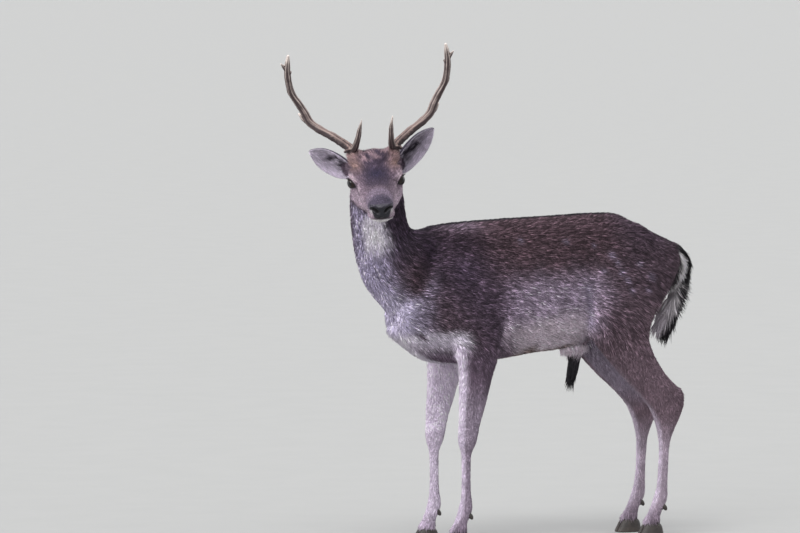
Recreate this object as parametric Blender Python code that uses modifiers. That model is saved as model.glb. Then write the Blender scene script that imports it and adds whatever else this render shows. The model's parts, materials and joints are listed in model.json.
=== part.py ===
"""A young fallow buck, life size, standing square with his head turned to his left side.

Metres, +Z up.  He faces -X, his left side is -Y, and the soles of his hooves lie on z = 0.
He stands 0.86 m at the withers, and every flesh surface is the outside of his winter coat.
The body is modelled whole, made one skin, and then parted with thin cuts into named pieces.
"""

import math

import bmesh
import bpy
import numpy as np
from mathutils import Matrix, Vector

# ---------------------------------------------------------------- driving dimensions
NAME = "fallow_buck"
GAP = 0.0004                 # clear space between neighbouring pieces
MERGE = 0.00002              # points closer than this are one point
STANCE_FORE = 0.072          # midline to the centre of a fore hoof
STANCE_HIND = 0.078          # midline to the centre of a hind hoof
FORE_STEP = {"left": 0.000, "right": -0.018}   # how far back each fore hoof stands
HIND_STEP = {"left": 0.006, "right": 0.026}    # how far back each hind hoof stands

EYE_LINE = Vector((-0.545, -0.090, 0.980))     # midpoint between the two eyes
HEAD_TURN = 67.0             # degrees from straight ahead to the deer's left
HEAD_PITCH = 18.0            # degrees that the muzzle points down
HEAD_ROLL = 4.5              # degrees that the left ear is carried higher
EYE_SPREAD = 0.0565          # midline to the centre of an eyeball
EYE_RADIUS = 0.0180

SIDES = {"left": 1, "right": -1}               # the sign of local Y in the head

# ---------------------------------------------------------------- body outlines
# Trunk: x, back line, belly line, half width, height of the widest level (0 belly, 1 back).
TRUNK = [
    (-0.452, 0.668, 0.580, 0.046, 0.50),
    (-0.440, 0.740, 0.558, 0.066, 0.50),
    (-0.405, 0.828, 0.524, 0.084, 0.50),
    (-0.360, 0.850, 0.497, 0.096, 0.46),
    (-0.300, 0.860, 0.484, 0.105, 0.44),
    (-0.220, 0.866, 0.482, 0.110, 0.44),
    (-0.130, 0.870, 0.491, 0.115, 0.46),
    (-0.040, 0.873, 0.503, 0.120, 0.47),
    (0.050, 0.876, 0.512, 0.121, 0.48),
    (0.110, 0.879, 0.522, 0.114, 0.50),
    (0.170, 0.880, 0.548, 0.107, 0.54),
    (0.225, 0.877, 0.580, 0.106, 0.58),
    (0.280, 0.853, 0.605, 0.102, 0.58),
    (0.340, 0.826, 0.628, 0.088, 0.58),
    (0.390, 0.802, 0.655, 0.066, 0.56),
    (0.425, 0.778, 0.690, 0.038, 0.55),
]
# Neck: nape x and z, throat x and z, sideways shift, half width.
NECK = [
    (-0.250, 0.800, -0.390, 0.540, 0.000, 0.080),
    (-0.330, 0.842, -0.462, 0.622, 0.000, 0.086),
    (-0.392, 0.850, -0.520, 0.690, 0.000, 0.080),
    (-0.408, 0.868, -0.549, 0.760, 0.000, 0.068),
    (-0.418, 0.905, -0.567, 0.838, -0.004, 0.062),
    (-0.428, 0.955, -0.577, 0.905, -0.012, 0.060),
    (-0.448, 1.005, -0.582, 0.960, -0.022, 0.055),
]
# Head, in its own frame: forward distance, upper profile, lower profile, half width.
HEAD = [
    (-0.112, 0.020, -0.034, 0.036),
    (-0.098, 0.040, -0.058, 0.048),
    (-0.070, 0.052, -0.078, 0.057),
    (-0.038, 0.052, -0.088, 0.062),
    (-0.008, 0.042, -0.088, 0.061),
    (0.022, 0.033, -0.083, 0.056),
    (0.052, 0.026, -0.075, 0.048),
    (0.084, 0.020, -0.068, 0.041),
    (0.116, 0.014, -0.067, 0.036),
    (0.140, 0.008, -0.066, 0.034),
    (0.156, 0.000, -0.061, 0.030),
    (0.165, -0.012, -0.048, 0.022),
]
# Foreleg: height, front edge, rear edge, midline to its centre, half width.
FORELEG = [
    (0.640, -0.345, -0.180, 0.060, 0.044),
    (0.580, -0.325, -0.160, 0.071, 0.041),
    (0.525, -0.302, -0.163, 0.078, 0.037),
    (0.480, -0.293, -0.180, 0.079, 0.033),
    (0.430, -0.288, -0.196, 0.078, 0.030),
    (0.380, -0.287, -0.209, 0.077, 0.027),
    (0.330, -0.288, -0.224, 0.076, 0.0245),
    (0.290, -0.290, -0.233, 0.075, 0.0255),
    (0.268, -0.287, -0.239, 0.075, 0.0235),
    (0.245, -0.281, -0.249, 0.074, 0.0165),
    (0.190, -0.279, -0.250, 0.073, 0.0150),
    (0.135, -0.280, -0.249, 0.073, 0.0160),
    (0.108, -0.285, -0.244, 0.072, 0.0190),
    (0.086, -0.292, -0.248, 0.072, 0.0180),
    (0.066, -0.300, -0.258, 0.072, 0.0175),
    (0.046, -0.309, -0.264, 0.072, 0.0215),
    (0.030, -0.313, -0.266, 0.072, 0.0215),
]
# Hind leg: the same columns.
HINDLEG = [
    (0.800, 0.200, 0.395, 0.040, 0.040),
    (0.745, 0.135, 0.400, 0.056, 0.050),
    (0.690, 0.105, 0.372, 0.064, 0.055),
    (0.640, 0.098, 0.340, 0.071, 0.056),
    (0.590, 0.098, 0.307, 0.077, 0.053),
    (0.555, 0.106, 0.290, 0.080, 0.049),
    (0.520, 0.131, 0.294, 0.082, 0.043),
    (0.480, 0.164, 0.314, 0.083, 0.036),
    (0.440, 0.200, 0.342, 0.083, 0.031),
    (0.405, 0.237, 0.378, 0.082, 0.0265),
    (0.380, 0.262, 0.398, 0.081, 0.0240),
    (0.350, 0.287, 0.396, 0.080, 0.0240),
    (0.315, 0.305, 0.381, 0.079, 0.0235),
    (0.285, 0.314, 0.366, 0.079, 0.0200),
    (0.250, 0.319, 0.355, 0.078, 0.0165),
    (0.190, 0.318, 0.350, 0.078, 0.0155),
    (0.140, 0.314, 0.348, 0.078, 0.0165),
    (0.110, 0.306, 0.348, 0.078, 0.0195),
    (0.088, 0.297, 0.342, 0.078, 0.0185),
    (0.067, 0.287, 0.329, 0.078, 0.0180),
    (0.046, 0.276, 0.322, 0.078, 0.0215),
    (0.030, 0.272, 0.319, 0.078, 0.0215),
]
# Tail: x, sideways shift, height, half thickness, half width.
TAIL = [
    (0.395, 0.000, 0.772, 0.022, 0.028),
    (0.425, 0.000, 0.770, 0.021, 0.027),
    (0.439, 0.001, 0.735, 0.019, 0.029),
    (0.433, 0.004, 0.680, 0.019, 0.031),
    (0.418, 0.008, 0.625, 0.018, 0.029),
    (0.396, 0.012, 0.572, 0.016, 0.024),
    (0.362, 0.017, 0.513, 0.006, 0.009),
]
# Sheath with its brush of hair: x, height, half length, half width.
SHEATH = [
    (0.122, 0.556, 0.042, 0.034),
    (0.114, 0.522, 0.030, 0.026),
    (0.108, 0.490, 0.019, 0.018),
    (0.101, 0.455, 0.014, 0.013),
    (0.092, 0.420, 0.011, 0.010),
    (0.084, 0.398, 0.005, 0.005),
]
# Antler beam in the head's frame: forward, outward, upward, radius.
BEAM = [
    (-0.054, 0.042, 0.036, 0.0150),
    (-0.060, 0.056, 0.067, 0.0135),
    (-0.069, 0.070, 0.081, 0.0115),
    (-0.085, 0.102, 0.101, 0.0105),
    (-0.105, 0.137, 0.118, 0.0105),
    (-0.119, 0.160, 0.135, 0.0110),
    (-0.123, 0.172, 0.161, 0.0105),
    (-0.122, 0.186, 0.188, 0.0100),
    (-0.114, 0.205, 0.225, 0.0095),
    (-0.100, 0.212, 0.275, 0.0085),
    (-0.088, 0.211, 0.315, 0.0070),
    (-0.080, 0.208, 0.340, 0.0025),
]
BROW_TINE = [
    (-0.060, 0.056, 0.069, 0.0100),
    (-0.042, 0.049, 0.083, 0.0095),
    (-0.020, 0.045, 0.113, 0.0080),
    (-0.006, 0.043, 0.146, 0.0050),
    (0.000, 0.043, 0.171, 0.0015),
]
BACK_SPUR = [
    (-0.118, 0.157, 0.131, 0.0085),
    (-0.134, 0.172, 0.137, 0.0070),
    (-0.148, 0.187, 0.152, 0.0020),
]
TOP_TINE = [
    (-0.098, 0.205, 0.283, 0.0060),
    (-0.092, 0.217, 0.299, 0.0052),
    (-0.084, 0.229, 0.318, 0.0020),
]
BURR_CENTRE = Vector((-0.0625, 0.061, 0.072))       # the rough ring at the foot of the beam
BURR_AXIS = (-0.35, 0.50, 0.80)
BURR_RADIUS = 0.0175
BURR_HALF_HEIGHT = 0.0055
FORK_POINT = Vector((-0.122, 0.167, 0.151))         # the beam is split above the back spur
FORK_NORMAL = Vector((-0.10, 0.40, 0.90))
BROW_TINE_LEAN = {"left": 0.010, "right": -0.015}   # how far outward each brow tine tip leans

# Ear in its own frame: share of its length, half width.
EAR_BASE = {"left": Vector((-0.064, 0.056, -0.009)), "right": Vector((-0.064, 0.056, -0.003))}
EAR_TIP = {"left": Vector((-0.118, 0.170, 0.090)), "right": Vector((-0.118, 0.168, 0.052))}
EAR_WIDTH = [
    (0.00, 0.017), (0.12, 0.026), (0.30, 0.035), (0.50, 0.037),
    (0.70, 0.031), (0.86, 0.019), (1.00, 0.004),
]
EAR_THICKNESS = 0.0055

# ---------------------------------------------------------------- colours and finishes
FINISHES = {
    "coat_dark": ((0.085, 0.068, 0.060), 0.75),
    "coat_grey": ((0.170, 0.155, 0.160), 0.75),
    "coat_pale": ((0.360, 0.330, 0.320), 0.75),
    "face": ((0.130, 0.100, 0.090), 0.70),
    "eye": ((0.010, 0.007, 0.006), 0.08),
    "antler": ((0.150, 0.075, 0.045), 0.45),
    "hoof": ((0.030, 0.026, 0.024), 0.40),
}


# ---------------------------------------------------------------- helpers
def clear_scene():
    for item in list(bpy.data.objects):
        bpy.data.objects.remove(item, do_unlink=True)


def new_collection(name):
    group = bpy.data.collections.new(name)
    bpy.context.scene.collection.children.link(group)
    return group


def smooth_rows(rows, steps):
    """Draw rows of numbers out into a smooth curve that passes through each of them."""
    rows = np.array(rows, dtype=float)
    ends = np.vstack([2 * rows[0] - rows[1], rows, 2 * rows[-1] - rows[-2]])
    drawn = []
    for i in range(len(rows) - 1):
        a, b, c, d = ends[i:i + 4]
        for k in range(steps):
            t = k / steps
            drawn.append(0.5 * (2 * b + (c - a) * t + (2 * a - 5 * b + 4 * c - d) * t ** 2
                                + (3 * b - a - 3 * c + d) * t ** 3))
    drawn.append(rows[-1])
    return np.array(drawn)


def oval(half_width, rise, fall, fullness_up, fullness_down, count):
    """Points round a closed section: sideways and upward distances from its centre."""
    points = []
    for k in range(count):
        turn = 2 * math.pi * k / count
        c, s = math.cos(turn), math.sin(turn)
        power = 2 / (fullness_up if s > 0 else fullness_down)
        side = half_width * math.copysign(abs(c) ** power, c)
        height = (rise if s > 0 else fall) * math.copysign(abs(s) ** power, s)
        points.append((side, height))
    return points


def closed_loft(rings):
    """One closed body from rings of equally many points, with a fan over each end."""
    count = len(rings[0])
    points = [p for ring in rings for p in ring]
    faces = []
    for r in range(len(rings) - 1):
        for k in range(count):
            a, b = r * count + k, r * count + (k + 1) % count
            faces.append((a, b, b + count, a + count))
    for ring_start, ring in ((0, rings[0]), ((len(rings) - 1) * count, rings[-1])):
        points.append(sum((Vector(p) for p in ring), Vector()) / count)
        hub = len(points) - 1
        for k in range(count):
            faces.append((ring_start + k, ring_start + (k + 1) % count, hub))
    data = bpy.data.meshes.new("loft")
    data.from_pydata([tuple(p) for p in points], [], faces)
    form = bmesh.new()
    form.from_mesh(data)
    bmesh.ops.recalc_face_normals(form, faces=form.faces)
    form.to_mesh(data)
    form.free()
    return data


def axes_along(aim):
    """Three axes: the third along aim, the second sideways where it can be."""
    third = Vector(aim).normalized()
    if abs(third.y) < 0.9:
        first = Vector((0, 1, 0)).cross(third).normalized()
        second = third.cross(first)
    else:
        second = third.cross(Vector((1, 0, 0))).normalized()
        first = second.cross(third)
    return Matrix((first, second, third)).transposed().to_4x4()


def ball(centre, radii, aim=(0, 0, 1), cuts=24):
    """A muscle or bone mass: an ellipsoid whose third radius lies along aim."""
    data = bpy.data.meshes.new("mass")
    form = bmesh.new()
    bmesh.ops.create_uvsphere(form, u_segments=cuts, v_segments=cuts // 2, radius=1)
    place = Matrix.Translation(Vector(centre)) @ axes_along(aim) @ Matrix.Diagonal((*radii, 1))
    bmesh.ops.transform(form, matrix=place, verts=form.verts)
    form.to_mesh(data)
    form.free()
    return data


def joined(meshes):
    """One mesh that holds all the given ones."""
    form = bmesh.new()
    for data in meshes:
        form.from_mesh(data)
    whole = bpy.data.meshes.new("joined")
    form.to_mesh(whole)
    form.free()
    return whole


def moved(data, matrix):
    data.transform(matrix)
    if matrix.determinant() < 0:
        data.flip_normals()
    return data


def baked(item):
    """The object's mesh with its modifiers applied, in the world's frame."""
    bpy.context.view_layer.update()
    view = item.evaluated_get(bpy.context.evaluated_depsgraph_get())
    data = bpy.data.meshes.new_from_object(view)
    data.transform(item.matrix_world)
    bpy.data.objects.remove(item, do_unlink=True)
    return data


def scratch_object(data):
    item = bpy.data.objects.new("work", data)
    bpy.context.scene.collection.objects.link(item)
    return item


def one_skin(data, grain, smoothing, triangles):
    """Overlapping masses made into one skin of about the given number of triangles."""
    item = scratch_object(data)
    remesh = item.modifiers.new("skin", "REMESH")
    remesh.mode = "VOXEL"
    remesh.voxel_size = grain
    soften = item.modifiers.new("soften", "SMOOTH")
    soften.factor = 0.5
    soften.iterations = smoothing
    skin = baked(item)
    skin.calc_loop_triangles()
    item = scratch_object(skin)
    thin = item.modifiers.new("thin", "DECIMATE")
    thin.ratio = min(1, triangles / len(skin.loop_triangles))
    return baked(item)


def cut(data, cutter, operation):
    """A Boolean of two closed meshes; cutter is kept."""
    item = scratch_object(data)
    tool = scratch_object(cutter)
    boolean = item.modifiers.new("cut", "BOOLEAN")
    boolean.operation = operation
    boolean.object = tool
    result = baked(item)
    bpy.data.objects.remove(tool, do_unlink=True)
    return result


def block(low, high):
    """A box between two corners."""
    form = bmesh.new()
    bmesh.ops.create_cube(form, size=1)
    middle = (Vector(low) + Vector(high)) / 2
    size = Vector(high) - Vector(low)
    place = Matrix.Translation(middle) @ Matrix.Diagonal((*size, 1))
    bmesh.ops.transform(form, matrix=place, verts=form.verts)
    data = bpy.data.meshes.new("block")
    form.to_mesh(data)
    form.free()
    return data


def above(point, normal, lift=0.0):
    """A big block on the side of a plane that its normal points to."""
    reach = 1.2
    turn = Vector(normal).to_track_quat("Z", "Y").to_matrix().to_4x4()
    slab = block((-reach, -reach, lift), (reach, reach, reach))
    return moved(slab, Matrix.Translation(Vector(point)) @ turn)


def largest_piece(data):
    """Only the biggest connected body of a mesh, its shortest edges merged away."""
    form = bmesh.new()
    form.from_mesh(data)
    bmesh.ops.triangulate(form, faces=form.faces)
    bmesh.ops.remove_doubles(form, verts=form.verts, dist=MERGE)
    bmesh.ops.triangulate(form, faces=form.faces)
    unseen = set(form.verts)
    groups = []
    while unseen:
        group, edge = set(), [next(iter(unseen))]
        while edge:
            vert = edge.pop()
            if vert in group:
                continue
            group.add(vert)
            edge.extend(e.other_vert(vert) for e in vert.link_edges)
        unseen -= group
        groups.append(group)
    groups.sort(key=len)
    for group in groups[:-1]:
        bmesh.ops.delete(form, geom=list(group), context="VERTS")
    form.to_mesh(data)
    form.free()
    return data


def finish_material(name):
    """The Principled material of one finish."""
    colour, roughness = FINISHES[name]
    material = bpy.data.materials.new(name)
    material.use_nodes = True
    shader = material.node_tree.nodes["Principled BSDF"]
    shader.inputs["Base Color"].default_value = (*colour, 1)
    shader.inputs["Roughness"].default_value = roughness
    material.diffuse_color = (*colour, 1)
    return material


def add_piece(name, data, finish):
    """A named sub-part with its own material."""
    item = bpy.data.objects.new(name, data)
    data.name = name
    data.materials.clear()
    material = finish_material(finish)
    material.name = name + "_" + finish
    data.materials.append(material)
    data.shade_smooth()
    PARTS.objects.link(item)
    return item


# ---------------------------------------------------------------- frames
def head_matrix():
    """From the head's frame (X forward, Y to the deer's left, Z up) to the world's."""
    turn = Matrix.Rotation(math.radians(180 + HEAD_TURN), 4, "Z")
    pitch = Matrix.Rotation(math.radians(HEAD_PITCH), 4, "Y")
    roll = Matrix.Rotation(math.radians(HEAD_ROLL), 4, "X")
    return Matrix.Translation(EYE_LINE) @ turn @ pitch @ roll


HEAD_FRAME = head_matrix()


def side_mirror(side):
    """The right side of the head is the left one mirrored."""
    return Matrix.Diagonal((1, SIDES[side], 1, 1))


# ---------------------------------------------------------------- flesh masses
def trunk_mass():
    rings = []
    for x, top, bottom, half, level in smooth_rows(TRUNK, 3):
        middle = bottom + (top - bottom) * level
        ring = oval(half, top - middle, middle - bottom, 2.15, 2.3, 36)
        rings.append([(x, side, middle + height) for side, height in ring])
    return closed_loft(rings)


def neck_mass():
    rings = []
    for nape_x, nape_z, throat_x, throat_z, shift, half in smooth_rows(NECK, 4):
        nape = Vector((nape_x, shift, nape_z))
        throat = Vector((throat_x, shift, throat_z))
        middle = (nape + throat) / 2
        up = (nape - throat) / 2
        ring = oval(half, 1, 1, 2.0, 2.2, 28)
        rings.append([middle + up * height + Vector((0, side, 0)) for side, height in ring])
    return closed_loft(rings)


def leg_mass(rows, side, step):
    """A limb whose sections are level ovals between its front and rear edges."""
    sign = -SIDES[side]
    rings = []
    for z, front, rear, out, half in smooth_rows(rows, 3):
        shift = step * min(1.0, max(0.0, (0.60 - z) / 0.25))
        middle = (front + rear) / 2 + shift
        ring = oval((rear - front) / 2, half, half, 2.2, 2.2, 24)
        rings.append([(middle + along, sign * out + across, z) for along, across in ring])
    return closed_loft(rings)


def shoulder_masses(side):
    """Shoulder blade, point of the shoulder and upper arm."""
    sign = -SIDES[side]
    return [
        ball((-0.265, sign * 0.050, 0.725), (0.105, 0.058, 0.140), (0.32, sign * -0.10, 0.95)),
        ball((-0.345, sign * 0.052, 0.640), (0.068, 0.046, 0.090), (-0.5, 0, 0.9)),
        ball((-0.222, sign * 0.066, 0.590), (0.066, 0.046, 0.090), (0.4, 0, 0.9)),
    ]


def haunch_masses(side):
    """Hip, thigh, buttock and stifle."""
    sign = -SIDES[side]
    return [
        ball((0.230, sign * 0.050, 0.735), (0.120, 0.060, 0.125), (0.3, 0, 0.95)),
        ball((0.212, sign * 0.058, 0.650), (0.110, 0.062, 0.130), (-0.35, 0, 0.95)),
        ball((0.325, sign * 0.034, 0.722), (0.072, 0.048, 0.095), (0.3, 0, 0.95)),
        ball((0.150, sign * 0.078, 0.570), (0.045, 0.040, 0.075), (-0.75, 0, 0.8)),
    ]


def hock_masses(side):
    """The point of the hock."""
    sign = -SIDES[side]
    step = HIND_STEP[side]
    return [ball((0.385 + step, sign * 0.080, 0.379), (0.013, 0.013, 0.030), (-0.25, 0, 1))]


def dewclaw_masses(x, side, stance):
    sign = -SIDES[side]
    return [
        ball((x, sign * stance + across, 0.083), (0.008, 0.007, 0.014), (0.5, 0, 1), 12)
        for across in (-0.011, 0.011)
    ]


def jaw_fullness(x):
    """How square the lower half of the head is: squarest at the jaw, round at both ends."""
    return 2.9 - 5.0 * max(0.0, x) if x > -0.09 else 2.2


def head_masses():
    rings = []
    for x, top, bottom, half in smooth_rows(HEAD, 4):
        middle = bottom + (top - bottom) * 0.56
        ring = oval(half, top - middle, middle - bottom, 2.35, jaw_fullness(x), 32)
        rings.append([(x, side, middle + height) for side, height in ring])
    masses = [closed_loft(rings)]
    for sign in (1, -1):                # brow, stalk, antler foot, cheek, ear root, nostril
        masses += [
            ball((-0.010, sign * 0.050, 0.012), (0.024, 0.030, 0.022), (1, 0, -0.1), 16),
            ball((-0.050, sign * 0.040, 0.040), (0.024, 0.024, 0.028), (0, sign * 0.35, 1), 16),
            ball((-0.058, sign * 0.052, 0.056), (0.018, 0.017, 0.018), (0, sign * 0.4, 1), 16),
            ball((-0.038, sign * 0.042, -0.050), (0.036, 0.024, 0.038), (0.2, 0, 1), 16),
            ball((-0.074, sign * 0.048, 0.022), (0.024, 0.024, 0.024), (0, sign, 0.2), 16),
            ball((0.146, sign * 0.020, -0.018), (0.018, 0.014, 0.018), (1, 0, 0), 16),
        ]
    masses.append(ball((0.138, 0, -0.050), (0.019, 0.024, 0.014), (0, 0, 1), 16))    # chin
    masses.append(ball((-0.050, 0, 0.040), (0.045, 0.042, 0.026), (0, 0, 1), 16))    # crown
    return [moved(data, HEAD_FRAME) for data in masses]


def flesh_masses():
    masses = [trunk_mass(), neck_mass()]
    for side in SIDES:
        masses.append(leg_mass(FORELEG, side, FORE_STEP[side]))
        masses.append(leg_mass(HINDLEG, side, HIND_STEP[side]))
        masses += shoulder_masses(side) + haunch_masses(side) + hock_masses(side)
        masses += dewclaw_masses(-0.243 + FORE_STEP[side], side, STANCE_FORE)
        masses += dewclaw_masses(0.350 + HIND_STEP[side], side, STANCE_HIND)
    return masses


# ---------------------------------------------------------------- planes that part the flesh
POLL_POINT = Vector((-0.508, -0.020, 0.948))        # behind the jaw and below the ears
POLL_NORMAL = Vector((-0.12, -0.42, 0.90))
NECK_POINT = Vector((-0.457, 0.000, 0.770))         # from the withers to the breast
NECK_NORMAL = Vector((-0.76, 0.00, 0.65))
THIGH_ARCH = (0.243, 0.655, 0.152)                  # x, z and radius of the rounded cut
ELBOW_ARCH = (-0.246, 0.520, 0.092)
LIMB_INSET = 0.030                                  # midline to the inner face of both cuts
KNEE_HEIGHT = 0.262
HOCK_HEIGHT = 0.300
CORONET_HEIGHT = 0.040
BODY_TRIANGLES = 2950
HEAD_TRIANGLES = 1700


def arch(place, sign, grow):
    """The side zone of a limb: an upright slab with a round top, outside LIMB_INSET."""
    x, z, radius = place
    radius += grow
    steps = 10
    outline = [(x - radius, -1.0)]
    for k in range(steps + 1):
        turn = math.pi * (1 - k / steps)
        outline.append((x + radius * math.cos(turn), z + radius * math.sin(turn)))
    outline.append((x + radius, -1.0))
    form = bmesh.new()
    inner = sign * (LIMB_INSET - grow)
    face = form.faces.new([form.verts.new((px, inner, pz)) for px, pz in outline])
    swept = bmesh.ops.extrude_face_region(form, geom=[face])
    far = [v for v in swept["geom"] if isinstance(v, bmesh.types.BMVert)]
    bmesh.ops.translate(form, vec=(0, sign, 0), verts=far)
    bmesh.ops.recalc_face_normals(form, faces=form.faces)
    data = bpy.data.meshes.new("arch")
    form.to_mesh(data)
    form.free()
    return data


def flesh_pieces():
    """The skin cut into head, neck, trunk and limbs, each with a thin gap round it."""
    body = one_skin(joined(flesh_masses()), 0.0075, 14, BODY_TRIANGLES)
    top = one_skin(joined(head_masses() + [neck_mass()]), 0.0042, 4, HEAD_TRIANGLES)
    pieces = {}
    pieces["head"] = cut(top, above(POLL_POINT, POLL_NORMAL, GAP / 2), "INTERSECT")
    rest = cut(body, above(POLL_POINT, POLL_NORMAL, -GAP / 2), "DIFFERENCE")
    pieces["neck"] = cut(rest.copy(), above(NECK_POINT, NECK_NORMAL, GAP / 2), "INTERSECT")
    rest = cut(rest, above(NECK_POINT, NECK_NORMAL, -GAP / 2), "DIFFERENCE")
    rest = cut(rest, block((-1, -1, -1), (1, 1, CORONET_HEIGHT)), "DIFFERENCE")
    limbs = {"foreleg": (ELBOW_ARCH, KNEE_HEIGHT), "hindleg": (THIGH_ARCH, HOCK_HEIGHT)}
    trunk = rest.copy()
    for limb, (place, joint) in limbs.items():
        for side, sign in SIDES.items():
            whole = cut(rest.copy(), arch(place, -sign, -GAP / 2), "INTERSECT")
            upper = block((-1, -1, joint + GAP / 2), (1, 1, 1))
            lower = block((-1, -1, -1), (1, 1, joint - GAP / 2))
            pieces[limb + "_" + side + "_upper"] = cut(whole.copy(), upper, "INTERSECT")
            pieces[limb + "_" + side + "_lower"] = cut(whole, lower, "INTERSECT")
            trunk = cut(trunk, arch(place, -sign, GAP / 2), "DIFFERENCE")
    pieces["trunk"] = trunk
    return pieces


# ---------------------------------------------------------------- tail and sheath
def tail_piece(fleshes):
    rings = []
    for x, shift, z, thick, half in smooth_rows(TAIL, 2):
        rings.append((Vector((x, shift, z)), thick, half))
    sections = []
    for i, (centre, thick, half) in enumerate(rings):
        ahead = rings[min(i + 1, len(rings) - 1)][0] - rings[max(i - 1, 0)][0]
        back = Vector((0, 1, 0)).cross(ahead).normalized()
        ring = oval(half, thick, thick, 2.0, 2.0, 10)
        sections.append([centre + back * height + Vector((0, side, 0)) for side, height in ring])
    return clear_of(closed_loft(sections), fleshes)


def sheath_piece(fleshes):
    sections = []
    for x, z, length, half in smooth_rows(SHEATH, 1):
        ring = oval(length, half, half, 2.0, 2.0, 10)
        sections.append([(x + along, across, z) for along, across in ring])
    return clear_of(closed_loft(sections), fleshes)


def grown(data, distance):
    """A copy pushed outwards along its normals."""
    form = bmesh.new()
    form.from_mesh(data)
    bmesh.ops.recalc_face_normals(form, faces=form.faces)
    form.normal_update()
    for vert in form.verts:
        vert.co += vert.normal * distance
    swollen = bpy.data.meshes.new("grown")
    form.to_mesh(swollen)
    form.free()
    return swollen


def clear_of(data, neighbours):
    """The piece without what it shares with its neighbours, and a thin gap besides."""
    for neighbour in neighbours:
        data = cut(data, grown(neighbour, GAP * 1.5), "DIFFERENCE")
    return data


# ---------------------------------------------------------------- eyes, ears, antlers, hooves
def eye_ball(side):
    centre = (0.0, SIDES[side] * EYE_SPREAD, 0.0)
    return moved(ball(centre, (EYE_RADIUS,) * 3, (0, SIDES[side], 0), 14), HEAD_FRAME)


def ear_piece(side):
    """A cupped leaf, thickened, with its hollow face to the front and outward."""
    along = EAR_TIP[side] - EAR_BASE[side]
    length = along.length
    along = along.normalized()
    face = Vector((0.80, 0.36, -0.10))
    across = along.cross(face).normalized()
    face = across.cross(along).normalized()
    columns = 6
    points, faces = [], []
    rows = smooth_rows(EAR_WIDTH, 1)
    for share, half in rows:
        for k in range(columns + 1):
            s = 2 * k / columns - 1
            curl = 0.95 * half * (1 - s * s) * (1 - 0.35 * share) + 0.006 * share ** 2
            edge = across * (half * s * (1 - 0.12 * s * s))
            points.append(EAR_BASE[side] + along * (length * share) + edge - face * curl)
    for r in range(len(rows) - 1):
        for k in range(columns):
            a = r * (columns + 1) + k
            faces.append((a, a + 1, a + columns + 2, a + columns + 1))
    data = bpy.data.meshes.new("ear")
    data.from_pydata([tuple(p) for p in points], [], faces)
    item = scratch_object(data)
    wall = item.modifiers.new("wall", "SOLIDIFY")
    wall.thickness = EAR_THICKNESS
    wall.offset = 0
    data = baked(item)
    return moved(data, HEAD_FRAME @ side_mirror(side))


def horn_tube(rows, side, lean=0.0, swell=0.0):
    """A tapering tube of horn through the given points of the head's frame."""
    curve = bpy.data.curves.new("horn", "CURVE")
    curve.dimensions = "3D"
    curve.bevel_depth = 1.0
    curve.bevel_resolution = 1
    curve.use_fill_caps = True
    drawn = smooth_rows(rows, 2)
    line = curve.splines.new("POLY")
    line.points.add(len(drawn) - 1)
    for i, (x, y, z, radius) in enumerate(drawn):
        share = i / (len(drawn) - 1)
        line.points[i].co = (x, y + lean * share, z, 1)
        line.points[i].radius = radius + swell
    item = bpy.data.objects.new("horn", curve)
    bpy.context.scene.collection.objects.link(item)
    data = baked(item)
    form = bmesh.new()
    form.from_mesh(data)
    bmesh.ops.remove_doubles(form, verts=form.verts, dist=0.00001)
    bmesh.ops.recalc_face_normals(form, faces=form.faces)
    form.to_mesh(data)
    form.free()
    return moved(data, HEAD_FRAME @ side_mirror(side))


def burr_ring(side, swell=0.0):
    """The rough coronet at the foot of the beam."""
    radii = (BURR_RADIUS + swell, BURR_RADIUS + swell, BURR_HALF_HEIGHT + swell)
    return moved(ball(BURR_CENTRE, radii, BURR_AXIS, 12), HEAD_FRAME @ side_mirror(side))


def antler_pieces(side, head):
    """Beam, brow tine, back spur and top, split at the forks."""
    beam = cut(horn_tube(BEAM, side), burr_ring(side), "UNION")
    frame = HEAD_FRAME @ side_mirror(side)
    fork = frame @ FORK_POINT
    way = (frame.to_3x3() @ FORK_NORMAL).normalized()
    lower = cut(beam.copy(), above(fork, way, -GAP / 2), "DIFFERENCE")
    upper = cut(beam, above(fork, way, GAP / 2), "INTERSECT")
    lower = clear_of(lower, [head])
    brow = clear_of(horn_tube(BROW_TINE, side, BROW_TINE_LEAN[side]), [head])
    spur = horn_tube(BACK_SPUR, side)
    top = horn_tube(TOP_TINE, side)
    room = horn_tube(BEAM, side, swell=GAP)
    brow, spur, top = (cut(tine, room, "DIFFERENCE") for tine in (brow, spur, top))
    brow = cut(brow, burr_ring(side, GAP), "DIFFERENCE")
    return {"beam_lower": lower, "beam_upper": upper, "brow_tine": brow,
            "back_spur": spur, "top_tine": top}


# One claw of a cloven hoof: height, toe, heel, inner side, outer side.
CLAW = [
    (0.000, -0.040, 0.030, 0.0015, 0.0240),
    (0.006, -0.039, 0.031, 0.0015, 0.0245),
    (0.022, -0.030, 0.028, 0.0015, 0.0235),
    (0.0396, -0.021, 0.023, 0.0015, 0.0215),
]


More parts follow.
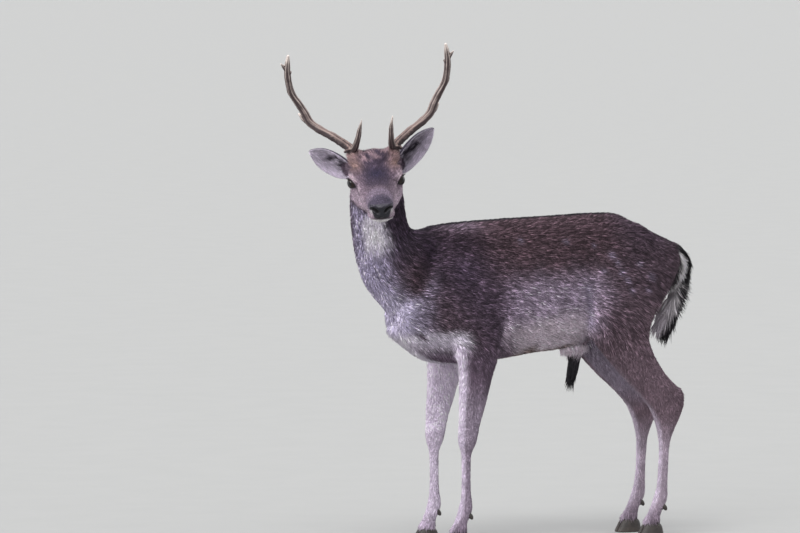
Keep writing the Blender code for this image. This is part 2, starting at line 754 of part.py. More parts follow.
def claw_piece(x, y, outward):
    """One claw: a flat sole, a pointed toe and a nearly straight inner wall."""
    count = 10
    rings = []
    for z, toe, heel, inner, outer in CLAW:
        middle, reach = (toe + heel) / 2, (heel - toe) / 2
        ring = []
        for k in range(count):
            turn = 2 * math.pi * (k + 0.5) / count
            along = math.cos(turn)
            wide = abs(math.sin(turn)) ** 0.8
            taper = 1 - 0.30 * max(0.0, -along)
            if math.sin(turn) > 0:
                across = inner + (outer - inner) * (0.30 + 0.70 * wide * taper)
            else:
                across = inner + (outer - inner) * (0.30 - 0.30 * wide)
            ring.append((x + middle + reach * along, y + outward * across, z))
        rings.append(ring)
    points = [p for ring in rings for p in ring]
    form = bmesh.new()
    verts = [form.verts.new(p) for p in points]
    for r in range(len(rings) - 1):
        for k in range(count):
            a, b = r * count + k, r * count + (k + 1) % count
            form.faces.new((verts[a], verts[b], verts[b + count], verts[a + count]))
    form.faces.new(verts[:count])
    form.faces.new(verts[-count:])
    bmesh.ops.recalc_face_normals(form, faces=form.faces)
    data = bpy.data.meshes.new("claw")
    form.to_mesh(data)
    form.free()
    return data


# ---------------------------------------------------------------- assembly
def build():
    fleshes = flesh_pieces()
    ears = {side: ear_piece(side) for side in SIDES}
    eyes = {side: eye_ball(side) for side in SIDES}
    head = fleshes["head"]
    for side in SIDES:
        head = cut(head, grown(eyes[side], GAP), "DIFFERENCE")
    fleshes["head"] = largest_piece(head)
    for side in SIDES:
        add_piece("ear_" + side, largest_piece(clear_of(ears[side], [head])), "coat_grey")
        add_piece("eye_" + side, eyes[side], "eye")
        for name, data in antler_pieces(side, head).items():
            add_piece("antler_" + side + "_" + name, largest_piece(data), "antler")
    flesh_finish = {"head": "face", "neck": "coat_grey", "trunk": "coat_dark"}
    for name, data in fleshes.items():
        add_piece(name, largest_piece(data), flesh_finish.get(name, "coat_grey"))
    hind = [fleshes["hindleg_left_upper"], fleshes["hindleg_right_upper"]]
    add_piece("tail", largest_piece(tail_piece([fleshes["trunk"]] + hind)), "coat_pale")
    add_piece("sheath", largest_piece(sheath_piece([fleshes["trunk"]] + hind)), "coat_pale")
    for side, sign in SIDES.items():
        for limb, toe_x, stance, step in (("fore", -0.288, STANCE_FORE, FORE_STEP[side]),
                                          ("hind", 0.298, STANCE_HIND, HIND_STEP[side])):
            for claw, outward in (("outer", -sign), ("inner", sign)):
                add_piece("hoof_" + limb + "_" + side + "_" + claw,
                          claw_piece(toe_x + step, -sign * stance, outward), "hoof")
    centre_on_floor()


def centre_on_floor():
    """Put the middle of the footprint of the whole deer at the origin, soles at z = 0."""
    corners = np.array([v.co for item in PARTS.objects for v in item.data.vertices])
    low, high = corners.min(axis=0), corners.max(axis=0)
    shift = Vector((-(low[0] + high[0]) / 2, -(low[1] + high[1]) / 2, -low[2]))
    for item in PARTS.objects:
        item.data.transform(Matrix.Translation(shift))


clear_scene()
PARTS = new_collection(NAME)
build()
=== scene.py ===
# %% [markdown]
# # A young fallow buck, life size
# This notebook dresses a finished solid model of a young fallow deer buck in his winter coat.
# The solids give every place and size.  Here one smooth skin replaces the parts of flesh, a coat
# of thousands of small solid tufts lies over it, and eyes, antlers and hooves get their own
# detail.  The model is in metres, he faces -X, and his left side is -Y.

# %% Load the solids and the tools
import json
import math

import bmesh
import bpy
import numpy as np
from mathutils import Matrix, Vector

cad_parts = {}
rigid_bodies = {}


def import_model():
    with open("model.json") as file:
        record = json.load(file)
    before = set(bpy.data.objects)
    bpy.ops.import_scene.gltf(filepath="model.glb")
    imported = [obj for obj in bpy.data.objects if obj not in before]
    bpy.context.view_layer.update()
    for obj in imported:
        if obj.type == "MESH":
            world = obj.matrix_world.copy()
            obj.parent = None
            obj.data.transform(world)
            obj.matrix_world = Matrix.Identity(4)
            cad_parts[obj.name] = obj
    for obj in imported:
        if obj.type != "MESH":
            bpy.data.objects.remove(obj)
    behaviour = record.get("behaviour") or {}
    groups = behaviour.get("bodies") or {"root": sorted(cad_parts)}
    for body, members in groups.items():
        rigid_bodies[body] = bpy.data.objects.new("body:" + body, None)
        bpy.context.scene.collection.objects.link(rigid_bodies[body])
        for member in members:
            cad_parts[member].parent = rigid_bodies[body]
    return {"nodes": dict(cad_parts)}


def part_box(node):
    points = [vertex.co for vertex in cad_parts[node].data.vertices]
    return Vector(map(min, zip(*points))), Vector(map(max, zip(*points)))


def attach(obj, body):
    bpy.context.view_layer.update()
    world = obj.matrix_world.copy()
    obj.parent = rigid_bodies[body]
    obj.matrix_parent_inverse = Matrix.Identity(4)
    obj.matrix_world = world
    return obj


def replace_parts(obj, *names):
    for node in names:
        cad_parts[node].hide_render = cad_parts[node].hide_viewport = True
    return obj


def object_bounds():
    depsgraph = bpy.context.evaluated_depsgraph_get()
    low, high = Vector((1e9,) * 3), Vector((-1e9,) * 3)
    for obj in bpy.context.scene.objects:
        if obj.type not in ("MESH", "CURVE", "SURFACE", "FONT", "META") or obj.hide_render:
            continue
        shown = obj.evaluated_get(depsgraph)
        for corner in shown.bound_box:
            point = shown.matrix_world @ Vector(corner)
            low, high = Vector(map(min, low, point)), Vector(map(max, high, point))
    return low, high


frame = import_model()
CAD_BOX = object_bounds()
BODY = "root"
print("solid parts:", len(frame["nodes"]), "box", [tuple(round(v, 3) for v in c) for c in CAD_BOX])

# %% [markdown]
# ## The plan of the body
# A body is easiest to shape from measured sections: a table of rows for the trunk, the neck, the
# head and each limb.  Muscles and bones are ellipsoids laid over them.  All of it is in the
# animal's own frame, with x = 0 at the middle of the trunk, and one shift takes it to its place
# on the floor.  The head has a frame of its own, X forward, Y to the deer's left and Z up, so
# that the face is shaped straight and symmetric and only then turned to look at the visitor.
# The sections are written in millimetres, which read more easily than small parts of a metre.

# %% Where he stands and looks
STANCE_FORE, STANCE_HIND = 0.072, 0.078        # midline to the centre of a hoof
FORE_STEP = {"left": 0.000, "right": -0.018}   # how far back each hoof stands
HIND_STEP = {"left": 0.006, "right": 0.026}
SIDES = {"left": 1, "right": -1}               # the sign of local Y in the head
EYE_LINE = Vector((-0.545, -0.090, 0.980))     # midpoint between the eyes
HEAD_TURN, HEAD_PITCH, HEAD_ROLL = 67.0, 18.0, 4.5
EYE_SPREAD, EYE_RADIUS = 0.0565, 0.0180

HEAD_FRAME = (Matrix.Translation(EYE_LINE)
              @ Matrix.Rotation(math.radians(180 + HEAD_TURN), 4, "Z")
              @ Matrix.Rotation(math.radians(HEAD_PITCH), 4, "Y")
              @ Matrix.Rotation(math.radians(HEAD_ROLL), 4, "X"))
eye_low, eye_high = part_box("eye_left")
SHIFT = (eye_low + eye_high) / 2 - HEAD_FRAME @ Vector((0, EYE_SPREAD, 0))
print("the animal's frame is shifted by", tuple(round(v, 4) for v in SHIFT))

# %% Sections of trunk, neck and head
def metres(rows):
    """Millimetres in metres, in rows of any depth."""
    if isinstance(rows, (int, float)):
        return rows / 1000
    if isinstance(rows, dict):
        return {name: metres(row) for name, row in rows.items()}
    return type(rows)(metres(row) for row in rows)


# Trunk: x, back line, belly line, half width, height of the widest level (0 belly, 1000 back).
TRUNK = metres([
    (-452, 668, 580, 46, 500), (-440, 740, 558, 66, 500), (-405, 828, 524, 84, 500),
    (-360, 850, 497, 96, 460), (-300, 860, 484, 105, 440), (-220, 866, 482, 110, 440),
    (-130, 870, 491, 115, 460), (-40, 873, 503, 120, 470), (50, 876, 512, 121, 480),
    (110, 879, 522, 114, 500), (170, 880, 548, 107, 540), (225, 877, 580, 106, 580),
    (280, 853, 605, 102, 580), (340, 826, 628, 88, 580), (390, 802, 655, 66, 560),
    (425, 778, 690, 38, 550),
])
# Neck: nape x and z, throat x and z, sideways shift, half width.
NECK = metres([
    (-250, 800, -390, 540, 0, 80), (-330, 842, -462, 622, 0, 86), (-392, 850, -520, 690, 0, 80),
    (-408, 868, -549, 760, 0, 68), (-418, 905, -567, 838, -4, 62), (-428, 955, -577, 905, -12, 60),
    (-448, 1005, -582, 960, -22, 55),
])
# Head, in its own frame: forward distance, upper profile, lower profile, half width.
HEAD = metres([
    (-112, 20, -34, 36), (-98, 40, -58, 48), (-70, 52, -78, 57), (-38, 52, -88, 62),
    (-8, 42, -88, 61), (22, 33, -83, 56), (52, 26, -75, 48), (84, 20, -68, 41), (116, 14, -67, 36),
    (140, 8, -66, 34), (156, 0, -61, 30), (165, -12, -48, 22),
])
print("sections of trunk, neck and head:", len(TRUNK), len(NECK), len(HEAD))

# %% Sections of the legs
# Foreleg: height, front edge, rear edge, midline to its centre, half width.
FORELEG = metres([
    (640, -345, -180, 60, 44), (580, -325, -160, 71, 41), (525, -302, -163, 78, 37),
    (480, -293, -180, 79, 33), (430, -288, -196, 78, 30), (380, -287, -209, 77, 27),
    (330, -288, -224, 76, 24.5), (290, -290, -233, 75, 25.5), (268, -287, -239, 75, 23.5),
    (245, -281, -249, 74, 16.5), (190, -279, -250, 73, 15), (135, -280, -249, 73, 16),
    (108, -285, -244, 72, 19), (86, -292, -248, 72, 18), (66, -300, -258, 72, 17.5),
    (46, -309, -264, 72, 21.5), (30, -313, -266, 72, 21.5),
])
# Hind leg: the same columns.
HINDLEG = metres([
    (800, 200, 395, 40, 40), (745, 135, 400, 56, 50), (690, 105, 372, 64, 55),
    (640, 98, 340, 71, 56), (590, 98, 307, 77, 53), (555, 106, 290, 80, 49),
    (520, 131, 294, 82, 43), (480, 164, 314, 83, 36), (440, 200, 342, 83, 31),
    (405, 237, 378, 82, 26.5), (380, 262, 398, 81, 24), (350, 287, 396, 80, 24),
    (315, 305, 381, 79, 23.5), (285, 314, 366, 79, 20), (250, 319, 355, 78, 16.5),
    (190, 318, 350, 78, 15.5), (140, 314, 348, 78, 16.5), (110, 306, 348, 78, 19.5),
    (88, 297, 342, 78, 18.5), (67, 287, 329, 78, 18), (46, 276, 322, 78, 21.5),
    (30, 272, 319, 78, 21.5),
])
print("sections of the legs:", len(FORELEG), len(HINDLEG))

# %% Tail, sheath and antlers
# Tail: x, sideways shift, height, half thickness, half width.
TAIL = metres([
    (395, 0, 772, 22, 28), (425, 0, 770, 21, 27), (439, 1, 735, 19, 29), (433, 4, 680, 19, 31),
    (418, 8, 625, 18, 29), (396, 12, 572, 16, 24), (362, 17, 513, 6, 9),
])
# Sheath with its brush of hair: x, height, half length, half width.
SHEATH = metres([
    (122, 556, 42, 34), (114, 522, 30, 26), (108, 490, 19, 18), (101, 455, 14, 13),
    (92, 420, 11, 10), (84, 398, 5, 5),
])
# Antler beam in the head's frame: forward, outward, upward, radius.
BEAM = metres([
    (-54, 42, 36, 15), (-60, 56, 67, 13.5), (-69, 70, 81, 11.5), (-85, 102, 101, 10.5),
    (-105, 137, 118, 10.5), (-119, 160, 135, 11), (-123, 172, 161, 10.5), (-122, 186, 188, 10),
    (-114, 205, 225, 9.5), (-100, 212, 275, 8.5), (-88, 211, 315, 7), (-80, 208, 340, 2.5),
])
BROW_TINE = metres([
    (-60, 56, 69, 10), (-42, 49, 83, 9.5), (-20, 45, 113, 8), (-6, 43, 149, 4.8),
    (0, 43, 178, 1.3),
])
BACK_SPUR = metres([
    (-118, 157, 131, 8.5), (-134, 172, 137, 7), (-148, 187, 152, 2),
])
TOP_TINE = metres([
    (-98, 205, 283, 6), (-92, 217, 299, 5.2), (-84, 229, 318, 2),
])
BROW_TINE_LEAN = {"left": 0.010, "right": -0.015}   # how far outward each brow tine tip leans
print("an antler's beam has", len(BEAM), "sections")

# %% Ears and claws
EAR_BASE = {"left": Vector((-0.064, 0.056, -0.009)), "right": Vector((-0.064, 0.056, -0.003))}
EAR_TIP = {"left": Vector((-0.118, 0.170, 0.090)), "right": Vector((-0.118, 0.168, 0.052))}
# Ear: share of its length, half width.
EAR_WIDTH = [
    (0.00, 0.017), (0.12, 0.027), (0.30, 0.036), (0.50, 0.039),
    (0.70, 0.036), (0.86, 0.027), (0.95, 0.018), (1.00, 0.011),
]
# One claw of a cloven hoof: height, toe, heel, inner side, outer side.
CLAW = metres([
    (0, -40, 30, 1.5, 24), (6, -39, 31, 1.5, 24.5), (22, -30, 28, 1.5, 23.5),
    (39.6, -21, 23, 1.5, 21.5),
])
print("an ear is", round((EAR_TIP["left"] - EAR_BASE["left"]).length * 1000), "mm long")

# %% [markdown]
# ## Helpers for shapes
# A loft joins sections into a closed tube, and a ball makes a mass of muscle or bone.  A voxel
# remesh melts such overlapping forms into one skin, which sculptors do too before they refine.
# The other way, one cage of quads drawn by hand, gives cleaner edge flow but needs hundreds of
# typed points.  Numpy moves the points of a whole mesh at once, so the fine modelling is done
# with soft brushes and strokes written as arithmetic.

# %% Lofts and masses
def smooth_rows(rows, steps):
    """Draw rows of numbers out into a smooth curve that passes through each of them."""
    rows = np.array(rows, dtype=float)
    ends = np.vstack([2 * rows[0] - rows[1], rows, 2 * rows[-1] - rows[-2]])
    drawn = []
    for i in range(len(rows) - 1):
        a, b, c, d = ends[i:i + 4]
        for k in range(steps):
            t = k / steps
            drawn.append(0.5 * (2 * b + (c - a) * t + (2 * a - 5 * b + 4 * c - d) * t ** 2
                                + (3 * b - a - 3 * c + d) * t ** 3))
    drawn.append(rows[-1])
    return np.array(drawn)


def oval(half_width, rise, fall, fullness_up, fullness_down, count=48):
    """Points round a closed section: sideways and upward distances from its centre."""
    points = []
    for k in range(count):
        turn = 2 * math.pi * k / count
        c, s = math.cos(turn), math.sin(turn)
        power = 2 / (fullness_up if s > 0 else fullness_down)
        side = half_width * math.copysign(abs(c) ** power, c)
        height = (rise if s > 0 else fall) * math.copysign(abs(s) ** power, s)
        points.append((side, height))
    return points


def mesh_of(points, faces):
    """A closed mesh from points and faces, its faces turned outwards."""
    data = bpy.data.meshes.new("form")
    data.from_pydata([tuple(p) for p in points], [], faces)
    form = bmesh.new()
    form.from_mesh(data)
    bmesh.ops.recalc_face_normals(form, faces=form.faces)
    form.to_mesh(data)
    form.free()
    return data


def closed_loft(rings):
    """One closed body from rings of equally many points, with a fan over each end."""
    count = len(rings[0])
    points = [Vector(p) for ring in rings for p in ring]
    faces = []
    for first in range(0, (len(rings) - 1) * count, count):
        for k in range(count):
            a, b = first + k, first + (k + 1) % count
            faces.append((a, b, b + count, a + count))
    for start in (0, (len(rings) - 1) * count):
        points.append(sum(points[start:start + count], Vector()) / count)
        hub = len(points) - 1
        faces += [(start + k, start + (k + 1) % count, hub) for k in range(count)]
    return mesh_of(points, faces)


def moved(data, matrix):
    """Turn or mirror a mesh, its faces still outwards."""
    data.transform(matrix)
    if matrix.determinant() < 0:
        data.flip_normals()
    return data


def ball(centre, radii, aim=(0, 0, 1), cuts=32):
    """A muscle or bone mass: radii fore and aft, sideways, and along aim."""
    third = Vector(aim).normalized()
    if abs(third.y) < 0.9:
        first = Vector((0, 1, 0)).cross(third).normalized()
        second = third.cross(first)
    else:
        second = third.cross(Vector((1, 0, 0))).normalized()
        first = second.cross(third)
    axes = Matrix((first, second, third)).transposed().to_4x4()
    data = bpy.data.meshes.new("mass")
    form = bmesh.new()
    bmesh.ops.create_uvsphere(form, u_segments=cuts, v_segments=cuts // 2, radius=1)
    form.to_mesh(data)
    form.free()
    return moved(data, Matrix.Translation(Vector(centre)) @ axes @ Matrix.Diagonal((*radii, 1)))


def ball_at(row, sign):
    """The ball of a row (centre, radii, aim) on the side that sign gives."""
    (x, y, z), radii, (ax, ay, az) = row
    return ball((x, sign * y, z), radii, (ax, sign * ay, az))


def joined(meshes):
    """One mesh that holds all the given ones."""
    form = bmesh.new()
    for data in meshes:
        form.from_mesh(data)
    whole = bpy.data.meshes.new("joined")
    form.to_mesh(whole)
    form.free()
    return whole


print("lofts and balls ready")


# %% Work objects and modifiers
def work_object(data, name="work"):
    item = bpy.data.objects.new(name, data)
    bpy.context.scene.collection.objects.link(item)
    return item


def plain_mesh(item):
    """The object's mesh with its modifiers applied; the object is thrown away."""
    bpy.context.view_layer.update()
    view = item.evaluated_get(bpy.context.evaluated_depsgraph_get())
    data = bpy.data.meshes.new_from_object(view)
    bpy.data.objects.remove(item, do_unlink=True)
    return data


def one_skin(data, grain, rounds):
    """Overlapping masses melted into one skin with the given size of face."""
    item = work_object(data)
    remesh = item.modifiers.new("skin", "REMESH")
    remesh.mode = "VOXEL"
    remesh.voxel_size = grain
    soften = item.modifiers.new("soften", "SMOOTH")
    soften.factor = 0.5
    soften.iterations = rounds
    return plain_mesh(item)


print("remesh ready")


# %% A mesh as rows of numbers
def rows_of(items, field, wide, kind=np.int32):
    """One field of all points, edges, faces or corners, a row for each."""
    flat = np.empty(len(items) * wide, kind)
    items.foreach_get(field, flat)
    return flat.reshape(-1, wide)


def points_of(data):
    return rows_of(data.vertices, "co", 3, np.float32).astype(float)


def normals_of(data):
    return rows_of(data.vertex_normals, "vector", 3, np.float32).astype(float)


def set_points(data, points):
    data.vertices.foreach_set("co", points.astype(np.float32).ravel())
    data.update()


def store(data, name, values, kind="FLOAT", domain="POINT", field="value"):
    """Keep numbers in the mesh under a name, for nodes to read."""
    layer = data.attributes.new(name, kind, domain)
    whole = np.int32 if kind == "INT" else np.float32
    layer.data.foreach_set(field, np.ascontiguousarray(values, whole).ravel())


def spread(values, edges, rounds, share=0.5):
    """Blend each point's values with the mean of its neighbours', so many times over."""
    count = len(values)
    ends = np.concatenate([edges[:, 0], edges[:, 1]])
    others = np.concatenate([edges[:, 1], edges[:, 0]])
    number = np.maximum(np.bincount(ends, minlength=count), 1)
    values = values.copy()
    for _ in range(rounds):
        for axis in range(values.shape[1]):
            mean = np.bincount(ends, weights=values[others, axis], minlength=count) / number
            values[:, axis] += share * (mean - values[:, axis])
    return values


print("arrays ready")


# %% Soft steps, lumps and strokes
def ramp(value, low, high):
    """0 below low, 1 above high, and a soft step between; low may be the larger."""
    t = np.clip((value - low) / (high - low), 0, 1)
    return t * t * (3 - 2 * t)


def lumps(points, size, seed=0):
    """Smooth random hills and hollows of about the given size, from -1 to 1."""
    scaled = points / size
    cell = np.floor(scaled).astype(np.int64)
    part = scaled - cell
    part = part * part * (3 - 2 * part)
    total = np.zeros(len(points))
    for corner in np.ndindex(2, 2, 2):
        key = (cell + corner) @ np.array([73856093, 19349663, 83492791]) + seed * 7919
        key = ((key ^ (key >> 13)) * 1274126177) & 0x7FFFFFFF
        key = ((key ^ (key >> 15)) * 668265263) & 0x7FFFFFFF
        weight = np.prod(np.where(corner, part, 1 - part), axis=1)
        total += weight * ((key % 10007) / 5003.5 - 1)
    return total


def path_distance(points, path):
    """How far each point is from a line through the given places, and how far along it."""
    path = np.array(path, dtype=float)
    best = np.full(len(points), 1e9)
    share = np.zeros(len(points))
    for i in range(len(path) - 1):
        a, b = path[i], path[i + 1]
        t = np.clip((points - a) @ (b - a) / ((b - a) @ (b - a)), 0, 1)
        away = np.linalg.norm(points - (a + t[:, None] * (b - a)), axis=1)
        nearer = away < best
        best[nearer] = away[nearer]
        share[nearer] = (i + t[nearer]) / (len(path) - 1)
    return best, share


def stroke(points, normals, path, width, depth):
    """Press a soft groove along a path, or raise a ridge where depth is negative."""
    away, _ = path_distance(points, path)
    points -= normals * (depth * np.exp(-(away / width) ** 2))[:, None]


def mirrored(path):
    return [(x, -y, z) for x, y, z in path]


print("brushes ready")

# %% [markdown]
# ## The room: floor, light and camera
# A museum model is seen on a plain pale floor under wide soft lamps.  A sun lamp with a wide
# angle gives the same soft shadow everywhere, and a pale world fills the shadows.  The camera is
# a long lens far away, low and ahead of his left shoulder, so that the sides look parallel.

# %% Floor, lamps and camera
CAMERA_TURN, CAMERA_RISE, CAMERA_AWAY, LENS = -28.0, 3.0, 18.0, 301.0
LOOK_AT = Vector((-0.332, 0.1765, 0.736)) + SHIFT
FLOOR_REACH = 400.0
# Lamps: name, strength, how wide it looks in degrees, the way its light goes.
LAMPS = (("high_lamp", 1.65, 40, (0.35, 0.45, -0.95)),
         ("front_lamp", 2.20, 45, (0.86, 0.48, -0.15)),
         ("small_lamp", 0.90, 9, (0.90, -0.35, -0.22)),       # the glint in the eyes
         ("back_lamp", 0.65, 60, (-0.85, -0.30, -0.40)))
scene = bpy.context.scene
scene.view_settings.view_transform = "Standard"
turn, rise = math.radians(CAMERA_TURN), math.radians(CAMERA_RISE)
back = Vector((math.sin(turn) * math.cos(rise), -math.cos(turn) * math.cos(rise),
               math.sin(rise)))
camera = bpy.data.objects.new("camera", bpy.data.cameras.new("camera"))
camera.data.lens = LENS
camera.data.sensor_width = 36
camera.data.clip_end = 1000
camera.location = LOOK_AT + back * CAMERA_AWAY
camera.rotation_euler = back.to_track_quat("Z", "Y").to_euler()
scene.collection.objects.link(camera)
scene.camera = camera

world = bpy.data.worlds.new("room")
world.use_nodes = True
background = world.node_tree.nodes["Background"]
background.inputs["Color"].default_value = (0.95, 0.96, 1.0, 1)
background.inputs["Strength"].default_value = 0.75
scene.world = world
for name, strength, angle, way in LAMPS:
    lamp = bpy.data.objects.new(name, bpy.data.lights.new(name, "SUN"))
    lamp.data.energy = strength
    lamp.data.angle = math.radians(angle)
    lamp.rotation_euler = Vector(way).to_track_quat("-Z", "Y").to_euler()
    scene.collection.objects.link(lamp)

floor = work_object(mesh_of([(x * FLOOR_REACH, y * FLOOR_REACH, 0)
                             for x, y in ((-1, -1), (1, -1), (1, 1), (-1, 1))],
                            [(0, 1, 2, 3)]), "floor")
print("camera at", tuple(round(v, 2) for v in camera.location))

# %% [markdown]
# ## The flesh
# The trunk is a loft of ovals from breast to rump, and the neck rises from it to the head.  Each
# limb is a loft of level ovals between its front and rear edge.  Shoulder blade, upper arm,
# thigh, buttock and stifle are masses that give the plain lofts their muscle.

# %% Trunk, neck and limbs
LIMB_TOP, LIMB_BEND = 0.60, 0.25     # a step moves a limb from here down, in full below the bend


def trunk_mass():
    rings = []
    for x, top, bottom, half, level in smooth_rows(TRUNK, 5):
        middle = bottom + (top - bottom) * level
        ring = oval(half, top - middle, middle - bottom, 2.15, 2.3)
        rings.append([(x, side, middle + height) for side, height in ring])
    return closed_loft(rings)


def neck_mass():
    rings = []
    for nape_x, nape_z, throat_x, throat_z, shift, half in smooth_rows(NECK, 6):
        nape, throat = Vector((nape_x, shift, nape_z)), Vector((throat_x, shift, throat_z))
        middle, up = (nape + throat) / 2, (nape - throat) / 2
        ring = oval(half, 1, 1, 2.0, 2.2)
        rings.append([middle + up * height + Vector((0, side, 0)) for side, height in ring])
    return closed_loft(rings)


def leg_mass(rows, side, step):
    """A limb whose sections are level ovals between its front and rear edges."""
    sign = -SIDES[side]
    rings = []
    for z, front, rear, out, half in smooth_rows(rows, 5):
        shift = step * min(1.0, max(0.0, (LIMB_TOP - z) / LIMB_BEND))
        middle = (front + rear) / 2 + shift
        ring = oval((rear - front) / 2, half, half, 2.2, 2.2, 32)
        rings.append([(middle + along, sign * out + across, z) for along, across in ring])
    return closed_loft(rings)


print("lofts of trunk, neck and limbs ready")

# %% Muscle, tail and sheath
# Muscle and bone of one side: centre, radii, and the way its long axis lies.
MUSCLES = {
    "shoulder blade": ((-0.265, 0.050, 0.725), (0.105, 0.058, 0.140), (0.32, -0.10, 0.95)),
    "point of shoulder": ((-0.345, 0.052, 0.640), (0.068, 0.046, 0.090), (-0.5, 0, 0.9)),
    "upper arm": ((-0.222, 0.066, 0.590), (0.066, 0.046, 0.090), (0.4, 0, 0.9)),
    "hip": ((0.230, 0.050, 0.735), (0.120, 0.060, 0.125), (0.3, 0, 0.95)),
    "thigh": ((0.212, 0.058, 0.650), (0.110, 0.062, 0.130), (-0.35, 0, 0.95)),
    "buttock": ((0.325, 0.034, 0.722), (0.072, 0.048, 0.095), (0.3, 0, 0.95)),
    "stifle": ((0.150, 0.078, 0.570), (0.045, 0.040, 0.075), (-0.75, 0, 0.8)),
}
HOCK_POINT = ((0.385, 0.080, 0.379), (0.013, 0.013, 0.030), (-0.25, 0, 1))
SHEATH_CORE = 0.85            # share of the sheath's thickness that is flesh


def rod_mass(centres, thick, half):
    """A loft along a line of places in the middle plane, for the tail and the sheath."""
    rings = []
    for i, centre in enumerate(centres):
        ahead = centres[min(i + 1, len(centres) - 1)] - centres[max(i - 1, 0)]
        up = Vector((0, 1, 0)).cross(ahead).normalized()
        ring = oval(half[i], thick[i], thick[i], 2.0, 2.0, 20)
        rings.append([centre + up * height + Vector((0, side, 0)) for side, height in ring])
    return closed_loft(rings)


def flesh_masses():
    masses = [trunk_mass(), neck_mass()]
    for side in SIDES:
        sign = -SIDES[side]
        masses.append(leg_mass(FORELEG, side, FORE_STEP[side]))
        masses.append(leg_mass(HINDLEG, side, HIND_STEP[side]))
        masses += [ball_at(row, sign) for row in MUSCLES.values()]
        (x, y, z), radii, aim = HOCK_POINT
        masses.append(ball((x + HIND_STEP[side], sign * y, z), radii, aim))
    tail = smooth_rows(TAIL[:-1], 3)
    masses.append(rod_mass([Vector(row[:3]) for row in tail], tail[:, 3], tail[:, 4]))
    sheath = smooth_rows(SHEATH[:4], 3)
    masses.append(rod_mass([Vector((x, 0, z)) for x, z, _, _ in sheath],
                           sheath[:, 2] * SHEATH_CORE, sheath[:, 3] * SHEATH_CORE))
    return masses


print(len(MUSCLES), "muscles on each side")

# %% [markdown]
# ## The head
# The skull is a loft from poll to nose.  Brow, antler stalks, cheeks, ear roots, nostrils and
# chin are masses over it.  They are made in the head's own frame and then turned into place.

# %% Masses of the head
# One side of the head: centre, radii and long axis, in the head's frame.
HEAD_BONES = {
    "brow": ((-0.010, 0.050, 0.012), (0.024, 0.030, 0.022), (1, 0, -0.1)),
    "stalk": ((-0.050, 0.040, 0.040), (0.024, 0.024, 0.028), (0, 0.35, 1)),
    "antler foot": ((-0.058, 0.052, 0.056), (0.018, 0.017, 0.018), (0, 0.4, 1)),
    "cheek": ((-0.038, 0.042, -0.050), (0.036, 0.024, 0.038), (0.2, 0, 1)),
    "ear root": ((-0.074, 0.048, 0.022), (0.024, 0.024, 0.024), (0, 1, 0.2)),
    "nostril": ((0.146, 0.020, -0.018), (0.018, 0.014, 0.018), (1, 0, 0)),
    "orbit": ((0.001, 0.043, -0.003), (0.037, 0.0320, 0.027), (0, 0, 1)),
    "cheek bone": ((-0.030, 0.046, -0.018), (0.040, 0.021, 0.018), (0, 0, 1)),
    "lip": ((0.138, 0.0215, -0.038), (0.022, 0.0150, 0.019), (1, 0, 0)),
    "ear funnel": ((-0.090, 0.058, 0.000), (0.013, 0.018, 0.026), (-0.4, 0.8, 0.5)),
}
CHIN = ((0.138, 0, -0.050), (0.019, 0.024, 0.014))
CROWN = ((-0.050, 0, 0.040), (0.045, 0.042, 0.026))


def head_masses():
    rings = []
    for x, top, bottom, half in smooth_rows(HEAD, 6):
        middle = bottom + (top - bottom) * 0.56
        jaw = 2.9 - 5.0 * max(0.0, x) if x > -0.09 else 2.2
        ring = oval(half, top - middle, middle - bottom, 2.35, jaw)
        rings.append([(x, side, middle + height) for side, height in ring])
    masses = [closed_loft(rings), ball(*CHIN), ball(*CROWN)]
    for sign in SIDES.values():
        masses += [ball_at(row, sign) for row in HEAD_BONES.values()]
    return [moved(data, HEAD_FRAME) for data in masses]


BODY_GRAIN, BODY_ROUNDS = 0.0058, 23      # size of face, rounds of smoothing
HEAD_GRAIN, HEAD_ROUNDS = 0.0016, 34
body_form = one_skin(joined(flesh_masses() + head_masses()), BODY_GRAIN, BODY_ROUNDS)
head_form = one_skin(joined(head_masses() + [neck_mass()]), HEAD_GRAIN, HEAD_ROUNDS)
print("body form", len(body_form.polygons), "faces, head form", len(head_form.polygons))

# %% [markdown]
# ## One skin, finer where it matters
# Lids, lips and nostrils need faces of about a millimetre, and a flank doesn't.  So the faces of
# the head are split once, those round the eyes and the muzzle once more, and a Shrinkwrap lays
# them on the finer form of the head.  A vertex group fades it out down the neck.

# %% Refine the head and lay it on its fine form
# The planes where the head and the neck begin: a place, and the way up the neck.
POLL = Vector((-0.508, -0.020, 0.948)), Vector((-0.12, -0.42, 0.90)).normalized()
NECK_FOOT = Vector((-0.457, 0.0, 0.770)), Vector((-0.76, 0, 0.65)).normalized()
HEAD_AXES = np.array(HEAD_FRAME.to_3x3())
EYE_REACH, MUZZLE_START = 0.042, 0.105     # where the face is finest


def to_head(points):
    """Places of the animal's frame in the head's frame."""
    return (points - np.array(EYE_LINE)) @ HEAD_AXES


def from_head(points):
    return points @ HEAD_AXES.T + np.array(EYE_LINE)


def above(points, plane):
    place, normal = plane
    return (points - np.array(place)) @ np.array(normal)


def refined(data, chosen):
    """Split the faces whose corners are all chosen."""
    form = bmesh.new()
    form.from_mesh(data)
    mask = chosen(points_of(data))
    edges = [e for e in form.edges if mask[e.verts[0].index] and mask[e.verts[1].index]]
    bmesh.ops.subdivide_edges(form, edges=edges, cuts=1, use_grid_fill=True)
    many = [f for f in form.faces if len(f.verts) > 4]
    bmesh.ops.triangulate(form, faces=many)
    form.to_mesh(data)
    form.free()
    return data


def whole_head(points):
    return above(points, POLL) > -0.012


